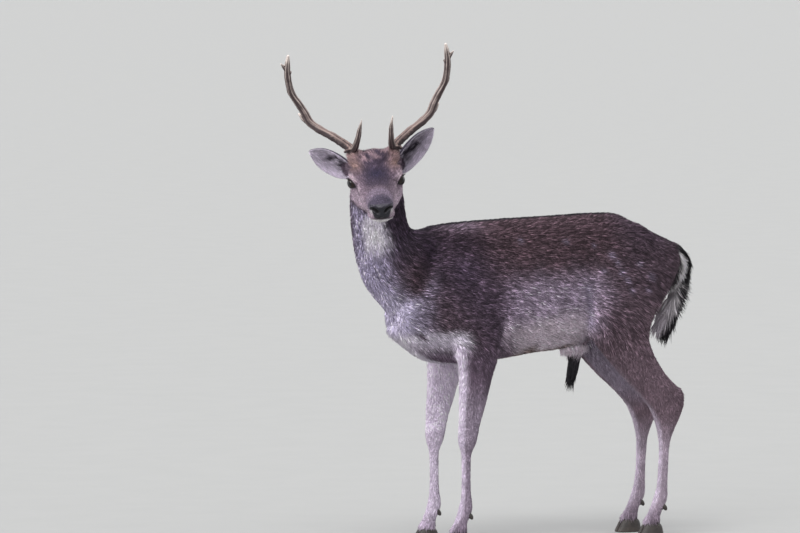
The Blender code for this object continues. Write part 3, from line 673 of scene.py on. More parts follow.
def fine_face(points):
    local = to_head(points)
    eyes = [np.linalg.norm(local - (0.004, sign * EYE_SPREAD, 0), axis=1) < EYE_REACH
            for sign in SIDES.values()]
    muzzle = (local[:, 0] > MUZZLE_START) & (np.linalg.norm(local, axis=1) < 0.3)
    return eyes[0] | eyes[1] | muzzle


skin_mesh = refined(refined(body_form, whole_head), fine_face)
item = work_object(skin_mesh)
group = item.vertex_groups.new(name="head")
lift = ramp(above(points_of(skin_mesh), POLL), 0.0, 0.030)
for index in np.nonzero(lift > 0)[0]:
    group.add([int(index)], float(lift[index]), "REPLACE")
wrap = item.modifiers.new("wrap", "SHRINKWRAP")
wrap.target = target = work_object(head_form)
wrap.wrap_method = "NEAREST_SURFACEPOINT"
wrap.vertex_group = "head"
skin_mesh = plain_mesh(item)
bpy.data.objects.remove(target, do_unlink=True)
print("skin", len(skin_mesh.polygons), "faces")
# %% [markdown]
# ## Down from the coat to the skin
# The solids show the outside of the coat.  The skin lies deeper by the depth of the hair: about
# 7 mm on the trunk, less on the limbs, and hardly anything on the face.  Moving each point in
# along its normal keeps all proportions.

# %% Lay the skin under the coat
DEPTH_TRUNK, DEPTH_NECK, DEPTH_LEG, DEPTH_FACE = 0.0070, 0.0060, 0.0022, 0.0016
CORE_DEPTH_SHARE = 0.3        # tail and sheath keep most of their flesh

points, normals = points_of(skin_mesh), normals_of(skin_mesh)
edges = rows_of(skin_mesh.edges, "vertices", 2)
x, y, z = points.T
head_share = ramp(above(points, POLL), -0.010, 0.040)
leg_share = np.where(x < 0, ramp(z, 0.56, 0.42), ramp(z, 0.60, 0.40))
neck_share = ramp(above(points, NECK_FOOT), -0.02, 0.04)
depth = DEPTH_TRUNK + (DEPTH_NECK - DEPTH_TRUNK) * neck_share
depth = depth + (DEPTH_LEG - depth) * leg_share
depth = depth + (DEPTH_FACE - depth) * head_share
core = (x > 0.415) | ((x > 0.07) & (z < 0.535) & (np.abs(y) < 0.03))
depth[core] *= CORE_DEPTH_SHARE
depth = spread(depth[:, None], edges, 12)[:, 0]
points -= normals * depth[:, None]
set_points(skin_mesh, points)
print("skin depth from", round(depth.min() * 1000, 1), "to", round(depth.max() * 1000, 1), "mm")

# %% [markdown]
# ## Folds of the body
# A living deer isn't smooth: there is a crease over the brisket, a hollow behind the elbow, a
# fold of flank before the thigh, and a thin hollow in front of the tendon above each hock.  Each
# is one stroke along a few places, pressed in along the skin's normals.

# %% Creases and hollows of trunk and limbs
# Path on the left side (y negative), width, and depth, in millimetres; the right side gets the
# mirror image.
BODY_STROKES = metres({
    "brisket crease": ([(-452, -4, 604), (-430, -30, 592), (-395, -58, 566),
                        (-372, -78, 548)], 7.5, 8.5),
    "under the crease": ([(-440, -16, 575), (-400, -46, 545)], 20, -4),
    "behind the elbow": ([(-165, -100, 600), (-160, -85, 545), (-175, -80, 515)], 17, 9),
    "behind the shoulder": ([(-175, -105, 780), (-160, -112, 680)], 35, 6),
    "before the shoulder": ([(-355, -75, 790), (-395, -80, 700)], 28, 6),
    "flank fold": ([(100, -112, 640), (112, -110, 590), (120, -100, 560)], 22, 7),
    "flank hollow": ([(120, -110, 790), (110, -112, 720)], 38, 8),
    "buttock line": ([(330, -85, 740), (300, -98, 660), (290, -100, 590)], 16, 5),
    "gaskin hollow": ([(300, -108, 490), (335, -106, 440), (366, -104, 395)], 11, 6),
    "gaskin hollow inside": ([(300, -56, 490), (335, -58, 440), (366, -60, 395)], 11, 5),
    "forearm line": ([(-255, -112, 500), (-245, -106, 420), (-248, -100, 340)], 10, 3),
    "fore tendon": ([(-263, -91, 220), (-263, -90, 130)], 6, 3),
    "hind tendon": ([(338, -97, 250), (334, -96, 130)], 6, 3),
})
for path, width, press in BODY_STROKES.values():
    normals = normals_of(skin_mesh)
    for way in (path, mirrored(path)):
        stroke(points, normals, way, width, press)
    set_points(skin_mesh, points)
print(len(BODY_STROKES), "strokes on each side of the body")

# %% [markdown]
# ## The face
# The face is drawn in the head's frame, so both halves share one list.  The orbit stands out, the
# tear gland runs from the inner corner of the eye, the nostrils are commas cut into a flat wet
# pad, and the mouth is a thin line that ends below the cheek.

# %% Strokes of the face
# Path on the left half, width, depth, in millimetres.
FACE_STROKES = metres({
    "bridge flank": ([(40, 34, 10), (80, 30, 2), (120, 28, -4)], 10, 3),
    "orbit rim": ([(-28, 64, 12), (-8, 74, 21), (14, 66, 21), (26, 52, 14)], 7, -3),
    "temple": ([(-45, 62, 0), (-40, 60, -20)], 14, 4),
    "tear gland": ([(24, 54, -10), (34, 50, -16), (44, 46, -21)], 3.4, 4.5),
    "cheek hollow": ([(20, 58, -34), (60, 47, -34), (92, 40, -30)], 13, 1.8),
    "jaw": ([(-34, 60, -48), (5, 56, -56), (45, 49, -55), (80, 41, -50)], 17, -7.5),
    "jaw edge": ([(-72, 55, -40), (-56, 54, -70), (-20, 40, -82)], 7, -1.6),
    "upper lip": ([(160, 12, -41.5), (148, 27, -41.5), (122, 34, -42.5),
                   (96, 37, -40.5)], 5.5, -1.6),
    "pad top": ([(166, 0, -12), (161, 16, -10.5)], 4.5, -1.8),
    "mouth": ([(168, 0, -46), (160, 14, -46), (146, 27.5, -47.5), (122, 34.5, -49.5),
               (94, 38.5, -47)], 2.4, 5),
    "pad side": ([(162, 23.5, -17.5), (163, 19, -31.5), (166, 10, -41.5)], 2, 1.2),
    "pad swell": ([(168, 0, -21.5), (168, 0, -33.5)], 10, -1.6),
    "nostril": ([(165.5, 11.5, -25.5), (164, 16, -21), (160, 21.5, -17.5),
                 (155, 26, -18)], 3.2, 10),
    "nostril wing": ([(160, 16, -9.5), (153, 25.5, -7), (144, 32, -11.5)], 3.4, -1.8),
    "lip cleft": ([(168, 0, -25.5), (168, 0, -44.5)], 1.6, 1.8),
})
NOSTRIL_WAY = (0.90, 0.42, 0.10)     # each is sunk straight back and inward, as one hole
NOSTRIL_SUNK = 0.0016                # a point pressed deeper than this is in its floor
near = np.nonzero(head_share > 0.02)[0]
local = to_head(points)
crown = ramp(local[:, 2], 0.022, 0.036) * ramp(local[:, 0], 0.01, -0.02) * head_share
points += (spread(points, edges, 40) - points) * crown[:, None]
set_points(skin_mesh, points)
for name, (path, width, press) in FACE_STROKES.items():
    normals = normals_of(skin_mesh)[near] @ HEAD_AXES
    local = to_head(points[near])
    before = local.copy()
    for way in (path, mirrored(path)):
        if name == "nostril":
            back_way, in_way, up_way = NOSTRIL_WAY
            normals = np.tile((back_way, in_way * np.sign(way[0][1]), up_way), (len(near), 1))
        stroke(local, normals, way, width, press)
    points[near] = from_head(local)
    if name == "nostril":
        nostril_floor = points[near][np.linalg.norm(local - before, axis=1) > NOSTRIL_SUNK]
    set_points(skin_mesh, points)
print(len(FACE_STROKES), "strokes on each half of the face")

# %% [markdown]
# ## The eyelids
# Round each eye the skin is put in polar form about the eyeball's centre.  Inside an almond the
# skin sinks behind the ball, so the ball shows.  On the almond's edge it stands just proud of
# the ball as the rim of the lids, and beyond that it follows the ball and then blends back into
# the face.  One fold above and one below make the lids look soft.

# %% The almond of the eye
EYE_AXIS = Vector((0.56, 0.82, 0.04)).normalized()      # where the left eye looks
LID_TILT = math.radians(16)                             # how far the inner corner sits low
OPEN_FRONT, OPEN_BACK, OPEN_UP, OPEN_DOWN = (math.radians(v) for v in (54, 52, 35, 29))
ALMOND = 1.75                 # 2 would open the lids as an oval, 1 as a lozenge
LID_THICK = 0.0015


def eye_axes(sign):
    """Outward, forward along the lids, and upward, for one eye."""
    out = Vector((EYE_AXIS.x, sign * EYE_AXIS.y, EYE_AXIS.z))
    ahead = Vector((1, 0, 0)) - out * out.x
    ahead.normalize()
    up = Vector((0, 0, 1)) - out * out.z
    up -= ahead * ahead.dot(up)
    up.normalize()
    tilted = ahead * math.cos(LID_TILT) - up * math.sin(LID_TILT)
    risen = up * math.cos(LID_TILT) + ahead * math.sin(LID_TILT)
    return np.array([out, tilted, risen])


def almond(local, sign):
    """Distance from the eye's centre, its direction, and 1 on the edge of the opening."""
    away = local - np.array((0, sign * EYE_SPREAD, 0))
    distance = np.linalg.norm(away, axis=1)
    out, ahead, up = (away @ eye_axes(sign).T / distance[:, None]).T
    angle = np.arccos(np.clip(out, -1, 1))
    bearing = np.arctan2(up, ahead)
    wide = np.where(np.cos(bearing) > 0, OPEN_FRONT, OPEN_BACK)
    high = np.where(np.sin(bearing) > 0, OPEN_UP, OPEN_DOWN)
    across, rise_ = angle * np.cos(bearing) / wide, angle * np.sin(bearing) / high
    ring = (np.abs(across) ** ALMOND + np.abs(rise_) ** ALMOND) ** (1 / ALMOND)
    return away, distance, ring, rise_


print("the lids are", round(math.degrees(OPEN_UP + OPEN_DOWN)), "degrees open")

# %% Open the eyes
lid_edge = np.zeros(len(points))
for sign in SIDES.values():
    local = to_head(points)
    away, distance, ring, rise_ = almond(local, sign)
    close = (distance < 0.046) & (ring < 2.6)
    sunk = EYE_RADIUS * 0.80
    rim = EYE_RADIUS + LID_THICK + 0.0008 * ramp(rise_, 0.1, 0.8)
    wanted = sunk + (rim - sunk) * ramp(ring, 0.90, 1.03)
    fold = 0.0011 * np.exp(-((ring - np.where(rise_ > 0, 1.55, 1.45)) / 0.13) ** 2)
    lid = rim + 0.0012 * np.exp(-((ring - 1.22) / 0.16) ** 2) - fold
    wanted = np.where(ring > 1.03, lid, wanted)
    back_to_face = ramp(ring, 1.35, 2.3)
    new = wanted + (distance - wanted) * back_to_face
    new = np.where(close, new, distance)
    local = np.array((0, sign * EYE_SPREAD, 0)) + away * (new / distance)[:, None]
    points = np.where(close[:, None], from_head(local), points)
    lid_edge = np.maximum(lid_edge, np.where(close, np.exp(-((ring - 0.98) / 0.16) ** 2), 0))
softened = spread(points, edges, 2)
calm = (head_share * (1 - lid_edge))[:, None] * 0.6
points += (softened - points) * calm
set_points(skin_mesh, points)
print("lids opened over eyeballs of", EYE_RADIUS * 2000, "mm")

# %% [markdown]
# ## The ears
# An ear is a curled leaf with two faces.  Each face is a grid of points: the hollow inner one and
# the round outer one, joined at the rim, so the wall is thin at the edge and thicker at the foot.
# A Boolean union melts the foot into the skull, and a few rounds of smoothing hide the join.

# %% Shape the ears
EAR_ROWS, EAR_COLUMNS = 44, 28
EAR_OPENS = Vector((0.80, 0.36, -0.10))       # the way its hollow faces
EAR_CURL, EAR_FOOT_WALL, EAR_TIP_WALL, EAR_RIB = 0.95, 0.0016, 0.0011, 0.0009


def ear_axes(side):
    """Along the ear, across it, and out of its hollow."""
    along = (EAR_TIP[side] - EAR_BASE[side]).normalized()
    across = along.cross(EAR_OPENS).normalized()
    return along, across, across.cross(along).normalized()


def ear_form(side):
    length = (EAR_TIP[side] - EAR_BASE[side]).length
    along, across, face = ear_axes(side)
    table = smooth_rows(EAR_WIDTH, 12)
    shares = 0.995 * np.linspace(0, 1, EAR_ROWS)
    widths = np.interp(shares, table[:, 0], table[:, 1]) * np.sqrt(1 - shares ** 8)
    rings = []
    for share, half in zip(shares, widths):
        inner, outer = [], []
        wall = EAR_TIP_WALL + EAR_FOOT_WALL * (1 - share) ** 2
        for k in range(EAR_COLUMNS + 1):
            s = 2 * k / EAR_COLUMNS - 1
            curl = EAR_CURL * half * (1 - s * s) * (1 - 0.35 * share) + 0.006 * share ** 2
            edge = across * (half * s * (1 - 0.12 * s * s))
            ribs = EAR_RIB * math.cos(s * 11) * (1 - s * s) * (1 - share)
            place = EAR_BASE[side] + along * (length * share) + edge - face * curl
            thick = wall * math.sqrt(max(0.0, 1 - s ** 6)) + 0.0003
            inner.append(place + face * (thick - ribs))
            outer.append(place - face * thick)
        rings.append(inner + outer[::-1])
    mirror = Matrix.Diagonal((1, SIDES[side], 1, 1))
    return moved(closed_loft(rings), HEAD_FRAME @ mirror)


print("an ear is drawn with", EAR_ROWS, "rows")

# %% Join the ears to the skin
EAR_JOIN = 0.034, 0.018       # the join is smoothed from nothing to full between these distances


def united(data, other):
    item, tool = work_object(data), work_object(other)
    union = item.modifiers.new("join", "BOOLEAN")
    union.operation = "UNION"
    union.object = tool
    union.solver = "MANIFOLD"
    union.material_mode = "TRANSFER"
    result = plain_mesh(item)
    bpy.data.objects.remove(tool, do_unlink=True)
    return result


marks = [bpy.data.materials.new("flesh"), bpy.data.materials.new("ear")]
skin_mesh.materials.append(marks[0])
for side in SIDES:
    ear = ear_form(side)
    ear.materials.append(marks[1])
    skin_mesh = united(skin_mesh, ear)
form = bmesh.new()
form.from_mesh(skin_mesh)
bmesh.ops.triangulate(form, faces=form.faces)
bmesh.ops.remove_doubles(form, verts=form.verts, dist=0.00002)
form.to_mesh(skin_mesh)
form.free()
points, edges = points_of(skin_mesh), rows_of(skin_mesh.edges, "vertices", 2)
for side, sign in SIDES.items():
    foot, tip = EAR_BASE[side], EAR_TIP[side]
    root = np.array(foot + (tip - foot) * 0.04)
    away = np.linalg.norm(to_head(points) * (1, sign, 1) - root, axis=1)
    points += (spread(points, edges, 10) - points) * ramp(away, *EAR_JOIN)[:, None]
set_points(skin_mesh, points)
ear_face = rows_of(skin_mesh.polygons, "material_index", 1)[:, 0] == 1
print("skin with ears", len(skin_mesh.polygons), "triangles,", ear_face.sum(), "on the ears")

# %% [markdown]
# ## Regions and an unwrap
# The coat is made region by region, and the skin needs flat coordinates of its own for anything
# that is painted or baked.  Every region is close to a tube, so its unwrap is simple: how far
# along its middle line, and the angle round it.  Where a tube closes, as on the nose or the rump,
# the distance from the middle line is added, so that the end opens like a flower.

# %% Which region each triangle belongs to
REGIONS = ("trunk", "neck", "head", "fore_left", "fore_right", "hind_left", "hind_right",
           "ear_left", "ear_right", "tail", "sheath")
R = {name: number for number, name in enumerate(REGIONS)}
# Where a limb joins the trunk: x and z of the middle of an arch, and its radius.
THIGH_ARCH, ELBOW_ARCH, LIMB_INSET = (0.243, 0.655, 0.152), (-0.246, 0.520, 0.092), 0.030
TAIL_START, TAIL_REACH, TAIL_HALF = 0.385, 0.019, 0.022
SHEATH_MIDDLE, SHEATH_REACH, SHEATH_HALF, SHEATH_TOP = 0.112, 0.045, 0.026, 0.527
corners = rows_of(skin_mesh.polygons, "vertices", 3)
centres = points[corners].mean(axis=1)
x, y, z = centres.T
tail_line = smooth_rows(TAIL, 4)


def in_arch(arch):
    at_x, at_z, radius = arch
    return (np.hypot(x - at_x, np.maximum(z - at_z, 0)) < radius) & (np.abs(y) > LIMB_INSET)


def tail_middle(height):
    """How far back the tail's middle line is at a height."""
    return np.interp(height, tail_line[::-1, 2], tail_line[::-1, 0])


region = np.full(len(centres), R["trunk"])
region[above(centres, NECK_FOOT) > 0] = R["neck"]
for side, sign in SIDES.items():
    lies = y * -sign > 0
    region[lies & (in_arch(ELBOW_ARCH) | ((x < 0) & (z < 0.47)))] = R["fore_" + side]
    region[lies & (in_arch(THIGH_ARCH) | ((x > 0.15) & (z < 0.55)))] = R["hind_" + side]
tail_away, _ = path_distance(centres, tail_line[:, :3])
region[(tail_away < TAIL_REACH) & (x > TAIL_START) & (x > tail_middle(z) - 0.011)
       & (np.abs(y) < TAIL_HALF)] = R["tail"]
region[(np.abs(y) < SHEATH_HALF) & (np.abs(x - SHEATH_MIDDLE) < SHEATH_REACH)
       & (z < SHEATH_TOP)] = R["sheath"]
region[above(centres, POLL) > 0] = R["head"]
local_y = to_head(centres)[:, 1]
region[ear_face & (local_y > 0)] = R["ear_left"]
region[ear_face & (local_y < 0)] = R["ear_right"]
print({name: int((region == number).sum()) for name, number in R.items()})


# %% Along and round each region
def limb_coordinates(name, places):
    x, y, z = places.T
    side = name[5:]
    rows, step = (FORELEG, FORE_STEP) if name.startswith("fore") else (HINDLEG, HIND_STEP)
    table = smooth_rows(rows, 4)[::-1]
    middle = np.interp(z, table[:, 0], (table[:, 1] + table[:, 2]) / 2)
    middle = middle + step[side] * np.clip((LIMB_TOP - z) / LIMB_BEND, 0, 1)
    return z, x - middle, y + SIDES[side] * np.interp(z, table[:, 0], table[:, 3])


def ear_coordinates(side, local):
    """Along an ear, across it and out of its hollow, from places in the head's frame."""
    place = local * (1, SIDES[side], 1) - np.array(EAR_BASE[side])
    return (place @ np.array(axis) for axis in ear_axes(side))


def tube_coordinates(name, places):
    """Distance along a region's middle line, and the angle round it."""
    x, y, z = places.T
    along, side_way = z, y
    if name == "trunk":
        table = smooth_rows(TRUNK, 4)
        up_way = z - np.interp(x, table[:, 0], (table[:, 1] + table[:, 2]) / 2)
        ends = np.maximum(0, 0.15 - np.hypot(side_way, up_way))
        along = x + 0.7 * np.tanh(x / 0.3) * ends
    elif name == "neck":
        table = smooth_rows(NECK, 4)
        up_way = x - np.interp(z, (table[:, 1] + table[:, 3]) / 2,
                               (table[:, 0] + table[:, 2]) / 2)
    elif name == "head":
        ahead, side_way, up = to_head(places).T
        up_way = up + 0.022
        ends = np.maximum(0, 0.05 - np.hypot(side_way, up_way))
        along = ahead + 0.8 * ends * np.tanh(ahead / 0.05)
    elif name.startswith(("fore", "hind")):
        along, side_way, up_way = limb_coordinates(name, places)
    elif name.startswith("ear"):
        along, side_way, face = ear_coordinates(name[4:], to_head(places))
        up_way = face + 0.011
    else:
        up_way = x - (tail_middle(z) if name == "tail" else 0.108)
    return along, np.arctan2(side_way, -up_way)


print("each region has a length and an angle")


# %% Unwrap each region
EDGE_OF_MAP = 0.012


def unwrap_region(name, chosen):
    """Corner coordinates of the chosen triangles, both from 0 to 1, whole across the seam."""
    places = points[corners[chosen]]
    along, angle = tube_coordinates(name, places.reshape(-1, 3))
    along, angle = along.reshape(-1, 3), angle.reshape(-1, 3)
    _, middle = tube_coordinates(name, centres[chosen])
    angle = middle[:, None] + np.angle(np.exp(1j * (angle - middle[:, None])))
    low, high = along.min(), along.max()
    flat = np.stack([(along - low) / (high - low), angle / (2 * np.pi) + 0.5], axis=2)
    return EDGE_OF_MAP + (1 - 2 * EDGE_OF_MAP) * np.clip(flat, 0, 1)


own_map = np.zeros((len(corners), 3, 2))
for name, number in R.items():
    chosen = np.nonzero(region == number)[0]
    own_map[chosen] = unwrap_region(name, chosen)
# Where each region lies on the skin's one map: left, low, width, height.
ISLANDS = {"trunk": (0.00, 0.00, 0.60, 0.46), "neck": (0.61, 0.00, 0.20, 0.46),
           "head": (0.00, 0.47, 0.44, 0.52), "fore_left": (0.45, 0.47, 0.27, 0.12),
           "fore_right": (0.45, 0.60, 0.27, 0.12), "hind_left": (0.45, 0.73, 0.27, 0.13),
           "hind_right": (0.45, 0.87, 0.27, 0.13), "ear_left": (0.73, 0.47, 0.13, 0.26),
           "ear_right": (0.87, 0.47, 0.13, 0.26), "tail": (0.73, 0.74, 0.13, 0.25),
           "sheath": (0.87, 0.74, 0.13, 0.25)}
skin_map = np.zeros_like(own_map)
for name, number in R.items():
    left, low, wide, high = ISLANDS[name]
    chosen = region == number
    skin_map[chosen] = own_map[chosen] * (wide, high) + (left, low)
print("unwrapped", len(REGIONS), "regions")

# %% [markdown]
# ## The lie of the coat
# Hair grows from the nose backwards, down the neck, back and down over the trunk, and straight
# down the limbs.  One direction is set at each point of the skin, flattened onto the surface,
# and averaged with its neighbours until it flows without a break.

# %% Which way the hair lies
normals, local = normals_of(skin_mesh), to_head(points)
x, y, z = points.T
ahead, sideways, upward = local.T            # the same places in the head's frame
outward = np.abs(y)
head_share = ramp(above(points, POLL), -0.006, 0.012)
neck_share = ramp(above(points, NECK_FOOT), -0.06, 0.05)
off_midline = ramp(outward, 0.008, 0.03)
fore_share = ramp(z, 0.60, 0.48) * ramp(x, -0.08, -0.14) * off_midline
fore_share = np.where(z < 0.46, (x < 0) * 1.0, fore_share)
hind_share = ramp(z, 0.66, 0.50) * ramp(x, 0.07, 0.13) * off_midline
hind_share = np.where(z < 0.50, (x > 0.05) * 1.0, hind_share)
limb = np.maximum(fore_share, hind_share)
face_way = np.stack([np.full(len(x), -1.0), 0.25 * np.sign(sideways),
                     np.where(upward > 0, 0.10, -0.55)], axis=1) @ HEAD_AXES.T
lie = np.tile([1.0, 0, -0.34], (len(points), 1))
for way, share in (((0.75, 0, -0.75), ramp(x, 0.20, 0.36)),
                   ((0.55, 0, -0.85), neck_share),
                   ((0.22, 0, -1.0), neck_share * ramp(z, 0.72, 0.86)),
                   ((0.25, 0, -1.0), fore_share),
                   ((0.45, 0, -1.0), hind_share),
                   ((0.0, 0, -1.0), limb * ramp(z, 0.42, 0.34)),
                   (face_way, head_share)):
    lie = lie + (np.array(way) - lie) * share[:, None]
point_mark = np.zeros(len(points), int)
point_mark[corners.ravel()] = np.repeat(region, 3)
for side in SIDES:
    chosen = point_mark == R["ear_" + side]
    tip = np.array(HEAD_FRAME @ (EAR_TIP[side] * Vector((1, SIDES[side], 1))))
    lie[chosen] = tip - points[chosen]
tail_part, sheath_part = point_mark == R["tail"], point_mark == R["sheath"]
lie[tail_part], lie[sheath_part] = (-0.25, 0, -1), (-0.2, 0, -1)
lie /= np.linalg.norm(lie, axis=1)[:, None]
lie = spread(lie, edges, 14)
swirl = 0.16 * lumps(points, 0.060, 3) + 0.10 * lumps(points, 0.022, 4)
lie += np.cross(normals, lie) * swirl[:, None]
loose = (tail_part | sheath_part) * 1.0
steep = (lie * normals).sum(axis=1)
lie -= normals * (steep * (1 - loose * ramp(np.abs(steep), 0.30, 0.75)))[:, None]
lie /= np.maximum(np.linalg.norm(lie, axis=1), 1e-6)[:, None]
print("the coat's lie is set at", len(points), "points")

# %% [markdown]
# ## Markings
# His winter coat is a dark brown-grey with a black line down the back, faint pale spots on the
# haunch, a pale belly and throat, a white rump edged with black, a tail that is black above and
# white below, and a dark forehead between rusty brows.  There is painted shade under the belly, in
# creases, on the lower neck, round the lower tail and at the mouth, and a painted highlight on the
# nose.  Each marking is a rule about places on the body, written once.  The result is one colour
# at each point of the skin, and each tuft takes the colour at its root, so skin and coat can't
# disagree.  A painted image would need a map without seams instead.

# %% Colours of the coat
COAT = {
    "back": (0.108, 0.060, 0.080), "stripe": (0.016, 0.012, 0.020),
    "flank": (0.135, 0.084, 0.116), "flank_low": (0.400, 0.310, 0.440),
    # belly_edge is painted shade for the underside of the belly
    "belly": (0.640, 0.540, 0.640), "belly_edge": (0.190, 0.130, 0.120),
    "shoulder": (0.108, 0.069, 0.122), "haunch": (0.115, 0.072, 0.102),
    "spot": (0.400, 0.330, 0.500), "neck": (0.130, 0.094, 0.150),
    "nape": (0.040, 0.023, 0.046), "throat": (0.800, 0.750, 0.880),
    "breast": (0.430, 0.380, 0.580), "brisket": (0.720, 0.660, 0.800),
    # crease is painted shade for the fold over the brisket
    "crease": (0.070, 0.052, 0.080), "leg_pale": (0.720, 0.620, 0.800),
    "leg_dark": (0.170, 0.112, 0.175), "gaskin": (0.205, 0.132, 0.175),
    "inside": (0.330, 0.270, 0.370), "white": (0.860, 0.830, 0.860),
    "black": (0.010, 0.008, 0.012), "rust": (0.400, 0.245, 0.215),
    "face": (0.165, 0.110, 0.160), "muzzle": (0.250, 0.185, 0.270),
    "cheek": (0.500, 0.370, 0.480), "lid": (0.640, 0.480, 0.570),
    "forehead": (0.070, 0.047, 0.088), "dark_patch": (0.034, 0.027, 0.072),
    "arch": (0.090, 0.070, 0.122), "crown": (0.440, 0.295, 0.370),
    "nose": (0.005, 0.005, 0.010), "ear": (0.150, 0.120, 0.190),
    "ear_pale": (0.620, 0.550, 0.690), "ear_dark": (0.024, 0.017, 0.030),
}
colour = np.tile(COAT["flank"], (len(points), 1))


def paint(name, mask):
    """Lay a named colour over the coat where the mask is 1."""
    global colour
    mask = np.clip(mask, 0, 1)[:, None]
    colour = colour + (np.array(COAT[name]) - colour) * mask


def soft(places, centre, radii):
    """1 at a centre, falling softly to 0 beyond the radii."""
    return np.exp(-(((places - centre) / radii) ** 2).sum(axis=1))


def blob(centre, radii):
    """A soft mask on both sides of the body; y is measured from the midline."""
    return soft(half_body, centre, radii)


def face_blob(centre, radii):
    """A soft mask on both halves of the face, in the head's frame."""
    return head * soft(half_face, centre, radii)


head, aside = head_share, np.abs(sideways)
half_body = np.stack([x, outward, z], axis=1)
half_face = np.stack([ahead, aside, upward], axis=1)
patchy, fine_patchy = lumps(points, 0.035, 11), lumps(points, 0.012, 12)
mottle = lumps(points, 0.007, 13)
front, top_facing = -normals[:, 0], normals[:, 2]
print(len(COAT), "named colours")

# %% The trunk, from the back down
table = smooth_rows(TRUNK, 4)
back_line, belly_line = (np.interp(x, table[:, 0], table[:, k]) for k in (1, 2))
height = (z - belly_line) / (back_line - belly_line) + 0.03 * patchy
# Pale spots of the haunch and the back: x, z and radius.
SPOTS = ((0.158, 0.768, 0.0075), (0.176, 0.748, 0.0065), (0.186, 0.722, 0.0075),
         (0.201, 0.700, 0.0060), (0.209, 0.672, 0.0065), (0.240, 0.744, 0.0060),
         (0.276, 0.710, 0.0075), (0.262, 0.676, 0.0055), (0.130, 0.726, 0.0055),
         (-0.114, 0.812, 0.0060), (0.020, 0.806, 0.0050), (0.108, 0.796, 0.0050))
FLANK_PATCH = [(0.076, 0, 0.680), (0.092, 0, 0.635), (0.100, 0, 0.585)]
paint("back", ramp(height, 0.50, 0.80))
paint("haunch", ramp(x, 0.14, 0.24))
paint("flank_low", ramp(height, 0.68, 0.44) * ramp(x, 0.16, 0.08) * ramp(x, -0.22, -0.12))
paint("flank_low", 0.45 * blob((0.138, 0.09, 0.668), (0.030, 0.2, 0.040)))
paint("belly", ramp(height, 0.36, 0.20) * ramp(x, 0.125, 0.065) * ramp(x, -0.19, -0.13))
# Painted shade: a dark brown band along the bottom of the belly, where it turns under
paint("belly_edge", ramp(height, 0.085, 0.02) * ramp(x, -0.19, -0.12) * ramp(x, 0.10, 0.02))
for strength, centre, radii in ((1.00, (-0.290, 0.09, 0.735), (0.075, 0.2, 0.075)),
                                (0.75, (-0.225, 0.09, 0.650), (0.090, 0.2, 0.085)),
                                (0.55, (-0.200, 0.09, 0.560), (0.060, 0.2, 0.060))):
    paint("shoulder", strength * blob(centre, radii))
paint("flank_low", 0.45 * blob((-0.300, 0.05, 0.856), (0.075, 0.2, 0.020)))
paint("gaskin", 0.80 * ramp(z, 0.69, 0.59) * ramp(x, 0.15, 0.22))
paint("nape", 0.60 * blob((-0.290, 0.09, 0.812), (0.075, 0.12, 0.026)))
paint("nape", 0.75 * blob((0.285, 0.00, 0.830), (0.100, 0.12, 0.050)))
paint("stripe", ramp(outward, 0.020, 0.011) * ramp(height, 0.86, 0.95) * ramp(x, -0.46, -0.38))
for at_x, at_z, size in SPOTS:
    paint("spot", 0.75 * blob((at_x, 0.10, at_z), (size, 0.08, size * 1.15)) * (outward > 0.03))
flank_patch, _ = path_distance(half_body * (1, 0, 1), FLANK_PATCH)
paint("spot", 0.75 * np.exp(-(flank_patch / 0.013) ** 2) * ramp(outward, 0.05, 0.08))
paint("inside", ramp(outward, 0.050, 0.030) * ramp(z, 0.64, 0.58) * ramp(x, 0.10, 0.16))
print("trunk painted, with", len(SPOTS), "spots on each side")

# %% Neck and breast
NECK_TURN = math.radians(58)        # how far the throat turns to his left with the head
paint("neck", neck_share)
paint("nape", neck_share * ramp(front, 0.15, -0.55))
paint("nape", blob((-0.375, 0.07, 0.800), (0.060, 0.10, 0.100)))
paint("breast", ramp(front, 0.05, 0.65) * ramp(x, -0.33, -0.42) * ramp(z, 0.80, 0.64))
paint("breast", 0.95 * ramp(front, 0.20, 0.70) * neck_share * ramp(z, 0.82, 0.74))
turn = NECK_TURN * ramp(z, 0.68, 0.84)
throat_front = -(normals[:, 0] * np.cos(turn) + normals[:, 1] * np.sin(turn))
breast_front = -(normals[:, 0] * np.cos(0.6 * turn) + normals[:, 1] * np.sin(0.6 * turn))
# Partly the dark coat of the nape, partly painted shade: the lower neck is darkened where it turns
# away from the front
paint("nape", 0.65 * neck_share * ramp(front, 0.38, 0.10) * ramp(z, 0.68, 0.78))
paint("breast", 0.75 * neck_share * ramp(breast_front, 0.55, 0.92) * ramp(z, 0.74, 0.80))
paint("throat", 0.20 * ramp(front, 0.2, 0.7) * ramp(x, -0.33, -0.42) * ramp(z, 0.72, 0.64))
paint("throat", 0.95 * ramp(throat_front + 0.03 * fine_patchy, 0.84, 0.95)
      * ramp(z, 0.765, 0.825) * ramp(z, 0.905, 0.885) * neck_share)
paint("brisket", ramp(z, 0.590, 0.560) * ramp(x, -0.225, -0.300)
      * ramp(front - top_facing, 0.0, 0.5))
# Painted shade along the fold over the brisket
crease, _ = path_distance(half_body * (1, -1, 1), BODY_STROKES["brisket crease"][0])
paint("crease", 0.9 * np.exp(-(crease / 0.008) ** 2))
print("neck and breast painted")

